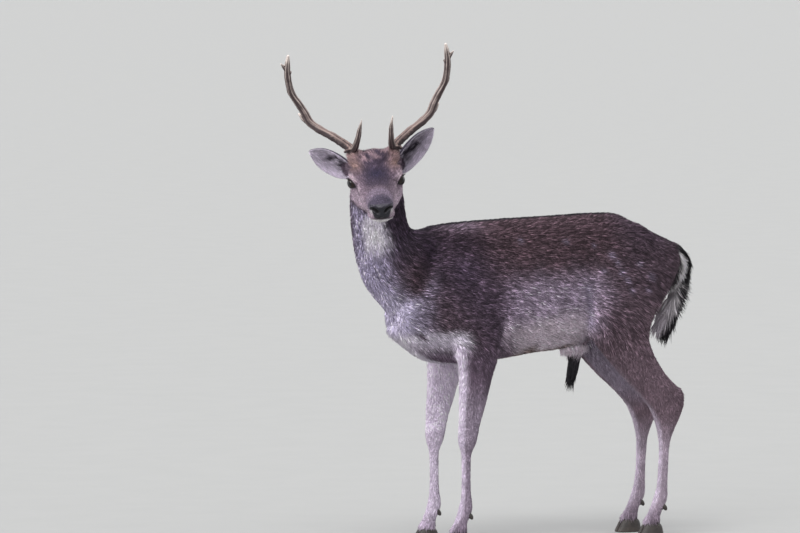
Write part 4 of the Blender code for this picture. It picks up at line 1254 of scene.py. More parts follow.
# %% The limbs
fore, hind = ramp(fore_share, 0.2, 0.9), ramp(hind_share, 0.2, 0.9)
paint("leg_dark", fore * (1 - 0.2 * ramp(front, 0, 1)))
paint("leg_pale", fore * np.maximum(0.35 * ramp(z, 0.46, 0.35), ramp(front, 0.35, 0.85)))
inner = np.where(y < 0, normals[:, 1], -normals[:, 1])
paint("leg_pale", fore * ramp(inner, 0.1, 0.7))
paint("leg_dark", 0.7 * fore * ramp(front, -0.55, -0.9))
paint("leg_dark", 0.35 * (z < 0.30) * fore * ramp(z, 0.05, 0.11) * (0.5 + 0.5 * patchy))
paint("gaskin", hind * ramp(z, 0.62, 0.50))
paint("inside", hind * ramp(inner, 0.0, 0.6) * ramp(z, 0.33, 0.42))
paint("leg_pale", 0.38 * hind * ramp(z, 0.34, 0.22))
paint("leg_pale", 0.55 * hind * ramp(front, 0.5, 0.95) * ramp(z, 0.50, 0.40))
paint("leg_dark", 0.5 * hind * ramp(z, 0.10, 0.06))
paint("leg_dark", 0.5 * fore * ramp(z, 0.09, 0.055))
print("limbs painted")

# %% Rump, tail and sheath
behind = ramp(normals[:, 0], 0.15, 0.55) * ramp(x, 0.33, 0.37)
edge = outward + 0.006 * fine_patchy
paint("black", behind * ramp(z, 0.60, 0.64) * ramp(edge, 0.066, 0.056))
paint("white", behind * ramp(z, 0.56, 0.62) * ramp(edge, 0.054, 0.044) * ramp(z, 0.792, 0.776))


def read_along(table, share):
    """A table's rows read at shares of its length."""
    steps = np.linspace(0, 1, len(table))
    return np.stack([np.interp(share, steps, column) for column in table.T], axis=1)


away, along_tail = path_distance(points, tail_line[:, :3])
tail_at = read_along(tail_line, along_tail)
tail_out = np.cross(read_along(np.gradient(tail_line[:, :3], axis=0), along_tail), (0, 1, 0))
tail_out /= np.linalg.norm(tail_out, axis=1)[:, None]
tail_rise = ((points - tail_at[:, :3]) * tail_out).sum(axis=1) / tail_at[:, 3]
tail_near = np.maximum(ramp(away / tail_at[:, 4], 1.30, 1.05) * (x > 0.36), tail_part)
paint("white", tail_near)
# Painted shade: the white round the lower part of the tail is greyed
paint("flank_low", 0.45 * tail_near * ramp(z, 0.70, 0.60))
pale_edge = -0.75 + 0.38 * ramp(z, 0.70, 0.60)          # the white shows more toward the tip
paint("black", tail_near * ramp(tail_rise + 0.10 * fine_patchy - pale_edge, 0.0, 0.28))
paint("belly", sheath_part * 0.9)
brush = np.maximum(ramp(z, 0.514, 0.498), ramp(x, 0.104, 0.098) * ramp(z, 0.518, 0.505))
paint("black", sheath_part * brush)
print("rump, tail and sheath painted")


# %% The head
def face_path(path, width, inward=(0, 0, 0)):
    """1 on a line through places of the face and its copy moved inward, falling to 0 beside it."""
    near = [path_distance(half_face, np.array(path) + np.array(inward) * k / 3)[0]
            for k in range(4)]
    return head * np.exp(-(np.min(near, axis=0) / width) ** 2)


paint("face", head)
for strength, centre, radii in ((0.95, (0.045, 0.052, -0.036), (0.062, 0.035, 0.030)),
                                (0.75, (-0.015, 0.058, -0.050), (0.045, 0.035, 0.026)),
                                (0.60, (0.115, 0.038, -0.030), (0.040, 0.030, 0.022))):
    paint("cheek", strength * face_blob(centre, radii))
paint("muzzle", head * ramp(ahead, 0.085, 0.110) * ramp(upward, -0.030, -0.015))
paint("nape", 0.75 * head * ramp(ahead, -0.055, -0.095))
paint("neck", 0.8 * head * ramp(upward, -0.065, -0.082) * ramp(ahead, 0.05, 0.00))
paint("forehead", 0.85 * head * ramp(aside + 0.007 * mottle, 0.044, 0.024)
      * ramp(upward, 0.004, 0.020) * ramp(ahead, 0.095, 0.075) * ramp(ahead, -0.10, -0.05))
paint("crown", head * ramp(mottle, -0.15, 0.25) * ramp(aside, 0.046, 0.034)
      * ramp(ahead, -0.006, -0.022) * ramp(upward, 0.02, 0.035))
paint("dark_patch", 0.9 * face_blob((0.030, 0.0, 0.030), (0.026, 0.024, 0.030)))
paint("rust", 0.85 * face_blob((-0.052, 0.050, 0.052), (0.024, 0.018, 0.020)))
paint("rust", 0.85 * face_blob((-0.020, 0.052, 0.032), (0.022, 0.018, 0.015)))
paint("rust", 0.45 * (mottle > 0.1) * face_blob((-0.045, 0.0, 0.06), (0.03, 0.04, 0.03)))
paint("lid", 0.95 * face_path([(-0.016, 0.072, 0.018), (0.008, 0.066, 0.021),
                               (0.026, 0.056, 0.011), (0.039, 0.048, -0.006)], 0.0062))
# Painted shade: a thin dark line in the crease above the pale lid band
paint("dark_patch", 0.7 * face_path([(-0.012, 0.071, 0.026), (0.012, 0.063, 0.026),
                                     (0.032, 0.051, 0.014)], 0.0030))
paint("cheek", 0.6 * face_blob((0.004, 0.068, -0.026), (0.022, 0.020, 0.0055)))
paint("black", 0.9 * face_path(FACE_STROKES["tear gland"][0], 0.0036, (-0.001, -0.004, 0)))
print("forehead, brows and cheeks painted")

# %% Nose and mouth
arch = np.exp(-((ahead - 0.133) / 0.0050) ** 2) * ramp(upward, -0.042, -0.030)
paint("arch", head * ramp(ahead + 0.002 * mottle, 0.128, 0.144) * ramp(upward, -0.030, -0.014))
paint("dark_patch", 0.45 * head * arch)
low_front = head * ramp(ahead, 0.110, 0.130)
paint("white", 0.90 * low_front * ramp(upward, -0.0455, -0.0510))
paint("white", 0.70 * face_blob((0.160, 0.0275, -0.026), (0.008, 0.0050, 0.010)))
paint("cheek", 0.8 * face_blob((0.152, 0.030, -0.040), (0.016, 0.012, 0.010)))
paint("white", 0.75 * head * ramp(upward, -0.049, -0.057) * ramp(ahead, 0.02, 0.09))
mouth = face_path(FACE_STROKES["mouth"][0], 0.0028, (-0.0035, -0.0025, 0))
# The mouth line is painted black: the dark edge of the lips, and painted shade in the slit of the
# mouth
paint("black", 0.95 * mouth)
pad_side = 0.0275 + 0.32 * (upward + 0.0175)
wet_pad = (head * ramp(ahead, 0.1500, 0.1545) * ramp(upward, -0.0445, -0.0420)
           * ramp(upward, -0.0050, -0.0080) * ramp(aside - pad_side, 0.0015, -0.0015))
nostril = np.zeros(len(points))
muzzle = np.nonzero(ahead > 0.135)[0]
gaps = [np.linalg.norm(nostril_floor - point, axis=1).min() for point in points[muzzle]]
nostril[muzzle] = ramp(np.array(gaps), 0.0024, 0.0002)
wet_pad = np.maximum(wet_pad, head * ramp(ahead, 0.146, 0.150) * nostril)
paint("nose", wet_pad)
# Painted highlight: the upper part of the wet pad is drawn paler
paint("arch", 0.20 * wet_pad * ramp(upward, -0.0175, -0.0095))
paint("black", nostril)
lid_points, lid_near = np.zeros(len(points)), np.zeros(len(points))
for sign in SIDES.values():
    _, distance, ring, _ = almond(local, sign)
    lid_points = np.maximum(lid_points, (distance < 0.026) * ramp(ring, 1.22, 1.08))
    lid_near = np.maximum(lid_near, (distance < 0.030) * ramp(ring, 2.0, 1.4))
print("wet pad on", (wet_pad > 0.5).sum(), "points, nostrils on", (nostril > 0.5).sum())

# %% The ears
ear_inner, ear_rim = np.zeros(len(points)), np.zeros(len(points))
ear_shares, ear_halves = np.array(EAR_WIDTH).T
for side, sign in SIDES.items():
    chosen = point_mark == R["ear_" + side]
    along, across, _ = ear_coordinates(side, local)
    share = along / (EAR_TIP[side] - EAR_BASE[side]).length
    half = np.interp(share, ear_shares, ear_halves)
    s = np.abs(across) / np.maximum(half, 0.002)
    facing = (normals @ HEAD_AXES * (1, sign, 1)) @ np.array(ear_axes(side)[2])
    inside = chosen * ramp(facing, -0.1, 0.35)
    paint("ear", chosen * 1.0)
    paint("ear_pale", inside * (0.80 + 0.25 * mottle))
    deep = ramp(s, 0.66, 0.30) * ramp(share, 0.86, 0.60)
    paint("ear_dark", inside * deep * np.clip(0.70 + 0.9 * fine_patchy, 0, 1))
    paint("ear_pale", inside * deep * ramp(mottle, 0.15, 0.5) * 0.75)
    paint("ear_dark", inside * ramp(s, 0.85, 0.70) * np.clip(fine_patchy, 0, 1) * 0.4)
    paint("ear_dark", chosen * ramp(share, 0.90, 0.99) * 0.5)
    rim_here = chosen * np.maximum(ramp(s, 0.80, 0.95), ramp(share, 0.90, 0.97))
    paint("ear_pale", rim_here * inside * 0.9)
    ear_inner, ear_rim = np.maximum(ear_inner, inside), np.maximum(ear_rim, rim_here)
paint("black", lid_points)
print("ears painted")

# %% Soften the whole coat
STRENGTH_OF_COLOUR, TINT = 0.80, (1.02, 1.0, 0.99)
DARKEST, PALEST = 0.003, 0.90
colour *= (1 + 0.15 * patchy + 0.15 * fine_patchy)[:, None]
grey = (colour @ np.array((0.30, 0.55, 0.15)))[:, None]
colour = np.clip((grey + STRENGTH_OF_COLOUR * (colour - grey)) * TINT, DARKEST, PALEST)
print("mean colour", colour.mean(axis=0).round(3))

# %% [markdown]
# ## Length, width and stand of the hair
# The coat is longest on the tail, the rump and the brush, about two centimetres on the trunk,
# and only a few millimetres on face and feet.  These are numbers at the points of the skin too.
# The wet nose, the rims of the lids and the hollow of the nostrils grow no hair.

# %% Hair at each point of the skin
hair = np.tile((0.0210, 0.0027, 0.0060), (len(points), 1))     # length, width, stand


def grow(mask, length, width, stand):
    """Set the hair's length, width and stand where the mask is 1."""
    global hair
    hair = hair + ((length, width, stand) - hair) * np.clip(mask, 0, 1)[:, None]


grow(neck_share, 0.0200, 0.0026, 0.0056)
grow(ramp(height, 0.25, 0.10) * (z > 0.45), 0.0240, 0.0027, 0.0062)
grow(ramp(z, 0.62, 0.56) * ramp(x, -0.28, -0.36), 0.0240, 0.0026, 0.0065)
grow(limb * ramp(z, 0.58, 0.44), 0.0135, 0.0022, 0.0032)
grow(limb * ramp(z, 0.40, 0.26), 0.0090, 0.0018, 0.0021)
grow(limb * ramp(z, 0.064, 0.050), 0.0170, 0.0019, 0.0065)
grow(behind * ramp(z, 0.57, 0.61) * ramp(outward, 0.07, 0.05), 0.0360, 0.0029, 0.0080)
grow(head, 0.0075, 0.0014, 0.0015)
grow(head * ramp(ahead, 0.04, 0.10), 0.0046, 0.0011, 0.0009)
grow(lid_near, 0.0034, 0.0009, 0.0007)
grow(head * ramp(upward, 0.018, 0.038) * ramp(ahead, 0.02, -0.03), 0.0150, 0.0020, 0.0060)
grow(head * ramp(ahead, -0.040, -0.072), 0.0160, 0.0020, 0.0046)
grow(head * ramp(upward, -0.040, -0.070) * ramp(ahead, 0.04, -0.02), 0.0130, 0.0020, 0.0035)
ear_part = (point_mark == R["ear_left"]) | (point_mark == R["ear_right"])
grow(ear_part * 1.0, 0.0060, 0.0012, 0.0009)
grow(ear_inner, 0.0150, 0.0011, 0.0030)
grow(ear_rim, 0.0050, 0.0011, 0.0008)
grow(tail_near, 0.0360, 0.0030, 0.0060)
grow(tail_part * 1.0, 0.0460, 0.0032, 0.0070)
grow(tail_part * ramp(z, 0.66, 0.58), 0.0680, 0.0032, 0.0100)
grow(tail_part * ramp(normals[:, 0], 0.0, -0.6) * ramp(z, 0.72, 0.66), 0.0600, 0.0034, 0.0190)
grow(sheath_part * 1.0, 0.0260, 0.0024, 0.0050)
grow(sheath_part * ramp(z, 0.51, 0.49), 0.0620, 0.0034, 0.0080)
print("hair from", (hair[:, 0].min() * 1000).round(1), "to",
      (hair[:, 0].max() * 1000).round(1), "mm")

# %% Where hairs are ticked, and where none grow
ear_tail = np.maximum(ear_part, tail_part | sheath_part)
ticked = 1 - 0.75 * limb * ramp(z, 0.56, 0.44)
for share, mask in ((0.40, head_share), (0.65, ear_tail),
                    (0.75, ramp(colour.mean(axis=1), 0.25, 0.60))):
    ticked = np.minimum(ticked, 1 - share * mask)
density = 1 - ramp(wet_pad, 0.25, 0.6)
density *= (1 - ramp(lid_points, 0.15, 0.5)) * (1 - nostril)
density *= 1 - ramp(mouth, 0.2, 0.6)
density *= 1 - 0.35 * ear_inner
density *= ramp(z, 0.034, 0.040)
print("hair grows on", (density > 0.5).sum(), "of", len(points), "points")

# %% Share the coat out into pieces
PARTS = []


def add_part(name, chosen):
    """A piece of coat of its own: part number, and its own map stretched over the square."""
    flats = own_map[chosen]
    low, high = flats.min(axis=(0, 1)), flats.max(axis=(0, 1))
    coat_map[chosen] = 0.004 + 0.992 * (flats - low) / (high - low)
    part[chosen] = len(PARTS)
    PARTS.append(name)


part = np.full(len(corners), -1, np.int32)
coat_map = np.zeros_like(own_map)
trunk_faces, left_half = region == R["trunk"], centres[:, 1] < 0
for side, half in (("left", left_half), ("right", ~left_half)):
    add_part("coat_fore_trunk_" + side, trunk_faces & half & (centres[:, 0] < 0.0))
    add_part("coat_rear_trunk_" + side, trunk_faces & half & (centres[:, 0] >= 0.0))
for name, number in R.items():
    if name != "trunk":
        add_part("coat_" + name, region == number)
print(len(PARTS), "pieces of coat:", ", ".join(PARTS))

# %% Write everything on the skin


store(skin_mesh, "marking", np.column_stack([colour, np.ones(len(points))]),
      "FLOAT_COLOR", field="color")
store(skin_mesh, "lie", lie, "FLOAT_VECTOR", field="vector")
for name, values in (("hair_length", hair[:, 0]), ("hair_width", hair[:, 1]),
                     ("hair_rise", hair[:, 2]), ("hair_density", density),
                     ("wet", wet_pad * (1 - nostril)), ("ticked", ticked)):
    store(skin_mesh, name, values)
store(skin_mesh, "part", part, "INT", "FACE")
for name, values in (("OFBake", skin_map), ("root_map", coat_map)):
    store(skin_mesh, name, values, "FLOAT2", "CORNER", "vector")
skin_mesh.shade_smooth()
skin_mesh.transform(Matrix.Translation(SHIFT))
print("the skin carries", ", ".join(layer.name for layer in skin_mesh.attributes))

# %% [markdown]
# ## Nodes written as sums
# A node tree is easier to read as arithmetic.  One small class stands for an output socket and
# overloads the operators, and one method adds any other node from its type, settings and values.
# The same two serve Geometry Nodes and materials.

# %% The node helpers
def reckon(operation, swapped=False):
    """An operator that adds one Math node."""
    def operator(self, other):
        first, second = (other, self) if swapped else (self, other)
        return self.plan.add("ShaderNodeMath", {"operation": operation}, {0: first, 1: second})[0]
    return operator


class Socket:
    """An output socket with which Python can reckon."""

    def __init__(self, plan, socket):
        self.plan, self.socket = plan, socket

    __add__ = __radd__ = reckon("ADD")
    __mul__ = __rmul__ = reckon("MULTIPLY")
    __sub__, __rsub__ = reckon("SUBTRACT"), reckon("SUBTRACT", True)
    __truediv__, __rtruediv__ = reckon("DIVIDE"), reckon("DIVIDE", True)
    __pow__ = reckon("POWER")


class Plan:
    """A node tree that is being drawn."""

    def __init__(self, tree):
        self.tree = tree

    def add(self, kind, settings=None, values=None):
        """Add a node; its outputs come back by name or number."""
        node = self.tree.nodes.new(kind)
        for key, value in (settings or {}).items():
            setattr(node, key, value)
        self.feed(node, values or {})
        return Outputs(self, node)

    def feed(self, node, values):
        """Link or set a node's inputs by name or number."""
        for key, value in values.items():
            target = self.find(node.inputs, key)
            if isinstance(value, Socket):
                self.tree.links.new(value.socket, target)
            else:
                target.default_value = value

    @staticmethod
    def find(sockets, key):
        if isinstance(key, int):
            return sockets[key]
        return next(s for s in sockets if s.name == key and s.enabled)


class Outputs:
    """The outputs of one node."""

    def __init__(self, plan, node):
        self.plan, self.node = plan, node

    def __getitem__(self, key):
        return Socket(self.plan, Plan.find(self.node.outputs, key))


print("node helpers ready")

# %% [markdown]
# ## Materials of skin and coat
# Both read the same stored marking.  Hair is darker at the root and paler at the tip, and no two
# tufts are quite alike, so each tuft carries a random number and each point of it knows how far
# along the hair it is.  The skin is darker, as it lies in the shade of the coat, and where it is
# bare on the nose it is wet, shiny and pebbled.

# %% Helpers for materials
def new_material(name):
    """A material, its plan, and its main shader."""
    material = bpy.data.materials.new(name)
    material.use_nodes = True
    material.node_tree.nodes.clear()
    plan = Plan(material.node_tree)
    shader = plan.add("ShaderNodeBsdfPrincipled")
    plan.add("ShaderNodeOutputMaterial", {}, {"Surface": shader["BSDF"]})
    return material, plan, shader.node


def stored(plan, name, output="Fac"):
    return plan.add("ShaderNodeAttribute", {"attribute_name": name})[output]


def places_of(plan):
    return plan.add("ShaderNodeTexCoord")["Object"]


def noise_on(plan, scale, detail=3.0):
    return plan.add("ShaderNodeTexNoise", {}, {"Scale": scale, "Detail": detail,
                                               "Vector": places_of(plan)})["Fac"]


def tinted(plan, colour_, factor):
    """A colour made lighter or darker by a number."""
    return plan.add("ShaderNodeVectorMath", {"operation": "SCALE"},
                    {0: colour_, "Scale": factor})[0]


def mixed(plan, factor, first, second):
    """Two colours blended by a number."""
    return plan.add("ShaderNodeMix", {"data_type": "RGBA"},
                    {"Factor": factor, "A": first, "B": second})["Result"]


def bump(plan, height_, strength, distance):
    return plan.add("ShaderNodeBump", {}, {"Height": height_, "Strength": strength,
                                           "Distance": distance})["Normal"]


print("material helpers ready")

# %% Hair
# Tone of a hair at its root, what it gains to the tip, by ticking, and where it isn't ticked.
ROOT_TONE, TIP_GAIN, TICK_GAIN, PLAIN_GAIN = 0.38, 0.30, 3.2, 0.60
PALEST_HAIR = (0.93, 0.90, 0.95)

coat_material, plan, shader = new_material("hair")
along, tick, ticking = (stored(plan, name) for name in ("along", "tick", "ticked"))
tone = (ROOT_TONE + along * TIP_GAIN + tick * tick * tick * ticking * TICK_GAIN
        + (1 - ticking) * PLAIN_GAIN)
plan.feed(shader, {
    "Base Color": plan.add("ShaderNodeVectorMath", {"operation": "MINIMUM"}, {
        0: tinted(plan, stored(plan, "marking", "Color"), tone), 1: PALEST_HAIR})[0],
    "Roughness": 0.62 + noise_on(plan, 90) * 0.25,
    "Normal": bump(plan, noise_on(plan, 1400, 2), 0.35, 0.0006),
    "Specular IOR Level": 0.32})
print("hair material with", len(plan.tree.nodes), "nodes")

# %% Skin
skin_material, plan, shader = new_material("skin")
wet = stored(plan, "wet")
pebbles = plan.add("ShaderNodeTexVoronoi", {"feature": "SMOOTH_F1"},
                   {"Vector": places_of(plan), "Scale": 520.0})["Distance"]
pores = noise_on(plan, 900, 3)
plan.feed(shader, {
    "Base Color": tinted(plan, stored(plan, "marking", "Color"), 0.55 + wet * 0.45 + pores * 0.1),
    "Roughness": 0.85 - wet * (0.62 + noise_on(plan, 260) * 0.12),
    "Normal": bump(plan, pores * (1 - wet) * 0.3 + pebbles * wet * 1.2, 0.70, 0.0012),
    "Specular IOR Level": 0.42})
skin_mesh.materials.clear()
skin_mesh.materials.append(skin_material)
print("skin material with", len(plan.tree.nodes), "nodes")

# %% [markdown]
# ## Tufts
# A hair seen on its own is too thin to model, so the coat is made of tufts, as a wet coat
# shows them.  A tuft is a closed three-sided spike; the longer kinds bend so that the tip lies
# down again.  All are one unit long, one unit high and one unit wide, so Geometry Nodes can give
# each its own length, height and width.

# %% Model the tufts
def tuft(name, stations, sway):
    """Stations are (along, half width, low, high); the tip is at (1, sway, 1)."""
    corners_, faces, places = [], [(2, 1, 0)], []
    for at, half, low, high in stations:
        drift = sway * at * at
        corners_ += [(at, drift - half, low), (at, drift + half, low), (at, drift, high)]
        places += [(at, 0.0), (at, 1.0), (at, 0.5)]
    for k in range(0, 3 * len(stations) - 3, 3):
        for a, b in ((0, 1), (1, 2), (2, 0)):
            faces += [(k + a, k + b, k + 3 + b), (k + a, k + 3 + b, k + 3 + a)]
    k, tip = 3 * len(stations) - 3, len(corners_)
    faces += [(k, k + 1, tip), (k + 1, k + 2, tip), (k + 2, k, tip)]
    data = mesh_of(corners_ + [(1.0, sway, 1.0)], faces)
    places = np.array(places + [(1.0, 0.5)])
    store(data, "along", places[:, 0])
    store(data, "patch", places, "FLOAT2", field="vector")
    data.shade_smooth()
    return bpy.data.objects.new(name, data)


FOOT = (0.0, 0.5, -0.22, 0.20)
SHORT_TUFTS = [tuft("short_1", [FOOT], 0.35), tuft("short_2", [FOOT], -0.45),
               tuft("short_3", [FOOT], 0.0),
               tuft("short_4", [FOOT, (0.55, 0.34, 0.48, 0.80)], 0.6)]
LONG_TUFTS = [tuft("long_1", [FOOT, (0.30, 0.42, 0.40, 0.72), (0.68, 0.24, 0.80, 1.02)], 1.6),
              tuft("long_2", [FOOT, (0.35, 0.40, 0.48, 0.80), (0.72, 0.22, 0.88, 1.08)], -1.8),
              tuft("long_3", [FOOT, (0.45, 0.36, 0.62, 0.90)], 0.4)]
kinds_of_tuft = {}
for name, items in (("short tufts", SHORT_TUFTS), ("long tufts", LONG_TUFTS)):
    kinds_of_tuft[name] = bpy.data.collections.new(name)
    for item in items:
        kinds_of_tuft[name].objects.link(item)
    print(name, [len(item.data.polygons) for item in items], "triangles each")

# %% [markdown]
# ## The coat as Geometry Nodes
# The tree takes one part of the skin, scatters roots over it at least a set distance apart, turns
# a tuft at each root along the stored lie, sizes it from the stored numbers, and makes real mesh
# of the lot.  A particle system would vanish on export; this leaves plain triangles.  Every tuft
# gets a small patch on the piece's own map at the place of its root.

# %% The tree's inputs and numbers
TREE_INPUTS = {"Skin": "Geometry", "Part": "Int", "Spacing": "Float", "Seed": "Int",
               "Yaw": "Float", "Grain": "Vector", "Tufts": "Collection", "Material": "Material"}
CROWD = 2.6                          # roots tried on a square as wide as the spacing
CHANCES = {"yaw": (-1.0, 1.0, 1), "length": (0.70, 1.20, 2), "width": (0.70, 1.25, 3),
           "stand": (0.55, 1.10, 4), "tick": (0.0, 0.36, 5)}      # from, to, seed offset
LOCK_SHARE, LOCK_LOW, LOCK_HIGH = 0.64, 0.39, 0.61      # ticking that runs in locks
PATCH = 0.003                        # side of a tuft's patch on the map


def new_tree():
    tree = bpy.data.node_groups.new("coat", "GeometryNodeTree")
    for name, kind in TREE_INPUTS.items():
        tree.interface.new_socket(name, in_out="INPUT", socket_type="NodeSocket" + kind)
    tree.interface.new_socket("Coat", in_out="OUTPUT", socket_type="NodeSocketGeometry")
    return tree


print("the tree has the inputs", ", ".join(TREE_INPUTS))


# %% Draw the tree
def coat_tree():
    tree = new_tree()
    plan = Plan(tree)
    given = plan.add("NodeGroupInput")

    def named(name, kind="FLOAT"):
        return plan.add("GeometryNodeInputNamedAttribute", {"data_type": kind},
                        {"Name": name})["Attribute"]

    def chance(name):
        low, high, offset = CHANCES[name]
        return plan.add("FunctionNodeRandomValue", {"data_type": "FLOAT"},
                        {"Min": low, "Max": high, "Seed": given["Seed"] + float(offset)})["Value"]

    chosen = plan.add("FunctionNodeCompare", {"data_type": "INT", "operation": "EQUAL"},
                      {"A": named("part", "INT"), "B": given["Part"]})["Result"]
    patch_of_skin = plan.add("GeometryNodeSeparateGeometry", {"domain": "FACE"},
                             {"Geometry": given["Skin"], "Selection": chosen})["Selection"]
    spacing = given["Spacing"]
    scatter = plan.add("GeometryNodeDistributePointsOnFaces", {"distribute_method": "POISSON"},
                       {"Mesh": patch_of_skin, "Distance Min": spacing,
                        "Density Max": CROWD / (spacing * spacing),
                        "Density Factor": named("hair_density"), "Seed": given["Seed"]})
    turned = plan.add("FunctionNodeAxesToRotation", {"primary_axis": "X", "secondary_axis": "Z"},
                      {"Primary Axis": named("lie", "FLOAT_VECTOR"),
                       "Secondary Axis": scatter["Normal"]})["Rotation"]
    yaw = chance("yaw") * given["Yaw"]
    swing = plan.add("FunctionNodeEulerToRotation", {}, {
        "Euler": plan.add("ShaderNodeCombineXYZ", {}, {"Z": yaw})["Vector"]})["Rotation"]
    turned = plan.add("FunctionNodeRotateRotation", {"rotation_space": "LOCAL"},
                      {"Rotation": turned, "Rotate By": swing})["Rotation"]
    size = plan.add("ShaderNodeCombineXYZ", {}, {
        "X": named("hair_length") * chance("length"),
        "Y": named("hair_width") * chance("width"),
        "Z": named("hair_rise") * chance("stand")})["Vector"]
    stretched = plan.add("ShaderNodeVectorMath", {"operation": "MULTIPLY"}, {
        0: plan.add("GeometryNodeInputPosition")["Position"], 1: given["Grain"]})[0]
    locks = plan.add("ShaderNodeTexNoise", {}, {"Vector": stretched, "Scale": 1.0,
                                                "Detail": 1.0})["Fac"]
    locks = plan.add("ShaderNodeMapRange", {}, {"Value": locks, "From Min": LOCK_LOW,
                                                "From Max": LOCK_HIGH})["Result"]
    roots = plan.add("GeometryNodeStoreNamedAttribute", {"data_type": "FLOAT", "domain": "POINT"},
                     {"Geometry": scatter["Points"], "Name": "tick",
                      "Value": chance("tick") + locks * LOCK_SHARE})["Geometry"]
    pick = plan.add("FunctionNodeRandomValue", {"data_type": "INT"},
                    {"Min": 0, "Max": 59, "Seed": given["Seed"]})["Value"]
    kinds = plan.add("GeometryNodeCollectionInfo", {}, {
        "Collection": given["Tufts"], "Separate Children": True, "Reset Children": True})
    grown = plan.add("GeometryNodeInstanceOnPoints", {}, {
        "Points": roots, "Instance": kinds["Instances"], "Pick Instance": True,
        "Instance Index": pick, "Rotation": turned, "Scale": size})["Instances"]
    solid = plan.add("GeometryNodeRealizeInstances", {}, {"Geometry": grown})["Geometry"]
    place = plan.add("ShaderNodeVectorMath", {"operation": "MULTIPLY_ADD"}, {
        0: named("patch", "FLOAT_VECTOR"), 1: (PATCH, PATCH, 0.0),
        2: named("root_map", "FLOAT_VECTOR")})[0]
    place = plan.add("ShaderNodeVectorMath", {"operation": "SUBTRACT"},
                     {0: place, 1: (PATCH / 2, PATCH / 2, 0.0)})[0]
    mapped = plan.add("GeometryNodeStoreNamedAttribute",
                      {"data_type": "FLOAT2", "domain": "CORNER"},
                      {"Geometry": solid, "Name": "OFBake", "Value": place})["Geometry"]
    done = plan.add("GeometryNodeSetMaterial", {}, {"Geometry": mapped,
                                                    "Material": given["Material"]})["Geometry"]
    plan.add("NodeGroupOutput", {}, {"Coat": done})
    return tree


tree = coat_tree()
print("coat tree with", len(tree.nodes), "nodes")

# %% [markdown]
# ## Grow the coat piece by piece
# Each part of the skin is grown on its own, so every piece stays of a size that is easy to handle.
# The modifier's inputs are set before it is first worked out, then the result is copied to a
# plain mesh and the modifier is thrown away.

# %% How each part is grown
# Part: least distance between roots, swing to either side, kind of tuft, grain of the locks.
FLAT_GRAIN, STEEP_GRAIN, FINE_GRAIN = (95, 260, 260), (260, 260, 95), (420, 420, 260)
GROWTH = {"trunk": (0.0022, 0.24, "short tufts", FLAT_GRAIN),
          "neck": (0.0021, 0.26, "short tufts", STEEP_GRAIN),
          "head": (0.00125, 0.20, "short tufts", FINE_GRAIN),
          "ear": (0.0012, 0.16, "short tufts", FINE_GRAIN),
          "fore": (0.0018, 0.18, "short tufts", STEEP_GRAIN),
          "hind": (0.0021, 0.18, "short tufts", STEEP_GRAIN),
          "tail": (0.0021, 0.08, "long tufts", STEEP_GRAIN),
          "sheath": (0.0019, 0.10, "long tufts", STEEP_GRAIN)}
GROWTH_ONLY = ("patch", "root_map", "lie", "hair_length", "hair_width", "hair_rise",
               "hair_density", "part", "wet")       # stored numbers that the finish doesn't read


def new_piece(name, data, material=None):
    """A finished piece, untouched by any place or turn of its own."""
    if material is not None:
        data.materials.clear()
        data.materials.append(material)
    data.shade_smooth()
    data.name = name
    return work_object(data, name)


print("kinds of growth:", ", ".join(GROWTH))


# %% Grow it
def grow_part(number, name):
    spacing, swing, kind, grain = next(row for part, row in GROWTH.items() if part in name)
    host = work_object(skin_mesh, "host")
    grower = host.modifiers.new("coat", "NODES")
    grower.node_group = tree
    keys = {s.name: s.identifier for s in tree.interface.items_tree if s.in_out == "INPUT"}
    for key, value in (("Part", number), ("Spacing", spacing), ("Seed", 100 + number),
                       ("Yaw", swing), ("Grain", grain), ("Tufts", kinds_of_tuft[kind]),
                       ("Material", coat_material)):
        grower[keys[key]] = value
    graph = bpy.context.evaluated_depsgraph_get()
    data = bpy.data.meshes.new_from_object(host.evaluated_get(graph))
    host.modifiers.clear()
    bpy.data.objects.remove(host, do_unlink=True)
    for extra in GROWTH_ONLY:
        if extra in data.attributes:
            data.attributes.remove(data.attributes[extra])
    return new_piece(name, data)


coat = [grow_part(number, name) for number, name in enumerate(PARTS)]
for piece in coat:
    print(piece.name, len(piece.data.polygons), "triangles")
print("the coat has", sum(len(p.data.polygons) for p in coat), "triangles")

# %% [markdown]
# ## Eyes and lashes
# A deer's eye is a dark brown ball with a wide pupil, and it looks alive because it is wet.  The
# ball is drawn in rings about the direction of the gaze, with a slight bulge for the cornea, and
# a flat map of it lets the material draw iris and pupil by distance.  Lashes are bent spikes.

# %% Model the eyes
EYE_RINGS, EYE_POINTS, CORNEA_RISE, CORNEA_WIDTH = 60, 72, 0.0008, 0.55
MAP_REACH = 0.49              # how far the back of the ball lies from the map's middle
INTO_WORLD = Matrix.Translation(SHIFT) @ HEAD_FRAME


def eye_centre(sign):
    return Vector((0, sign * EYE_SPREAD, 0))


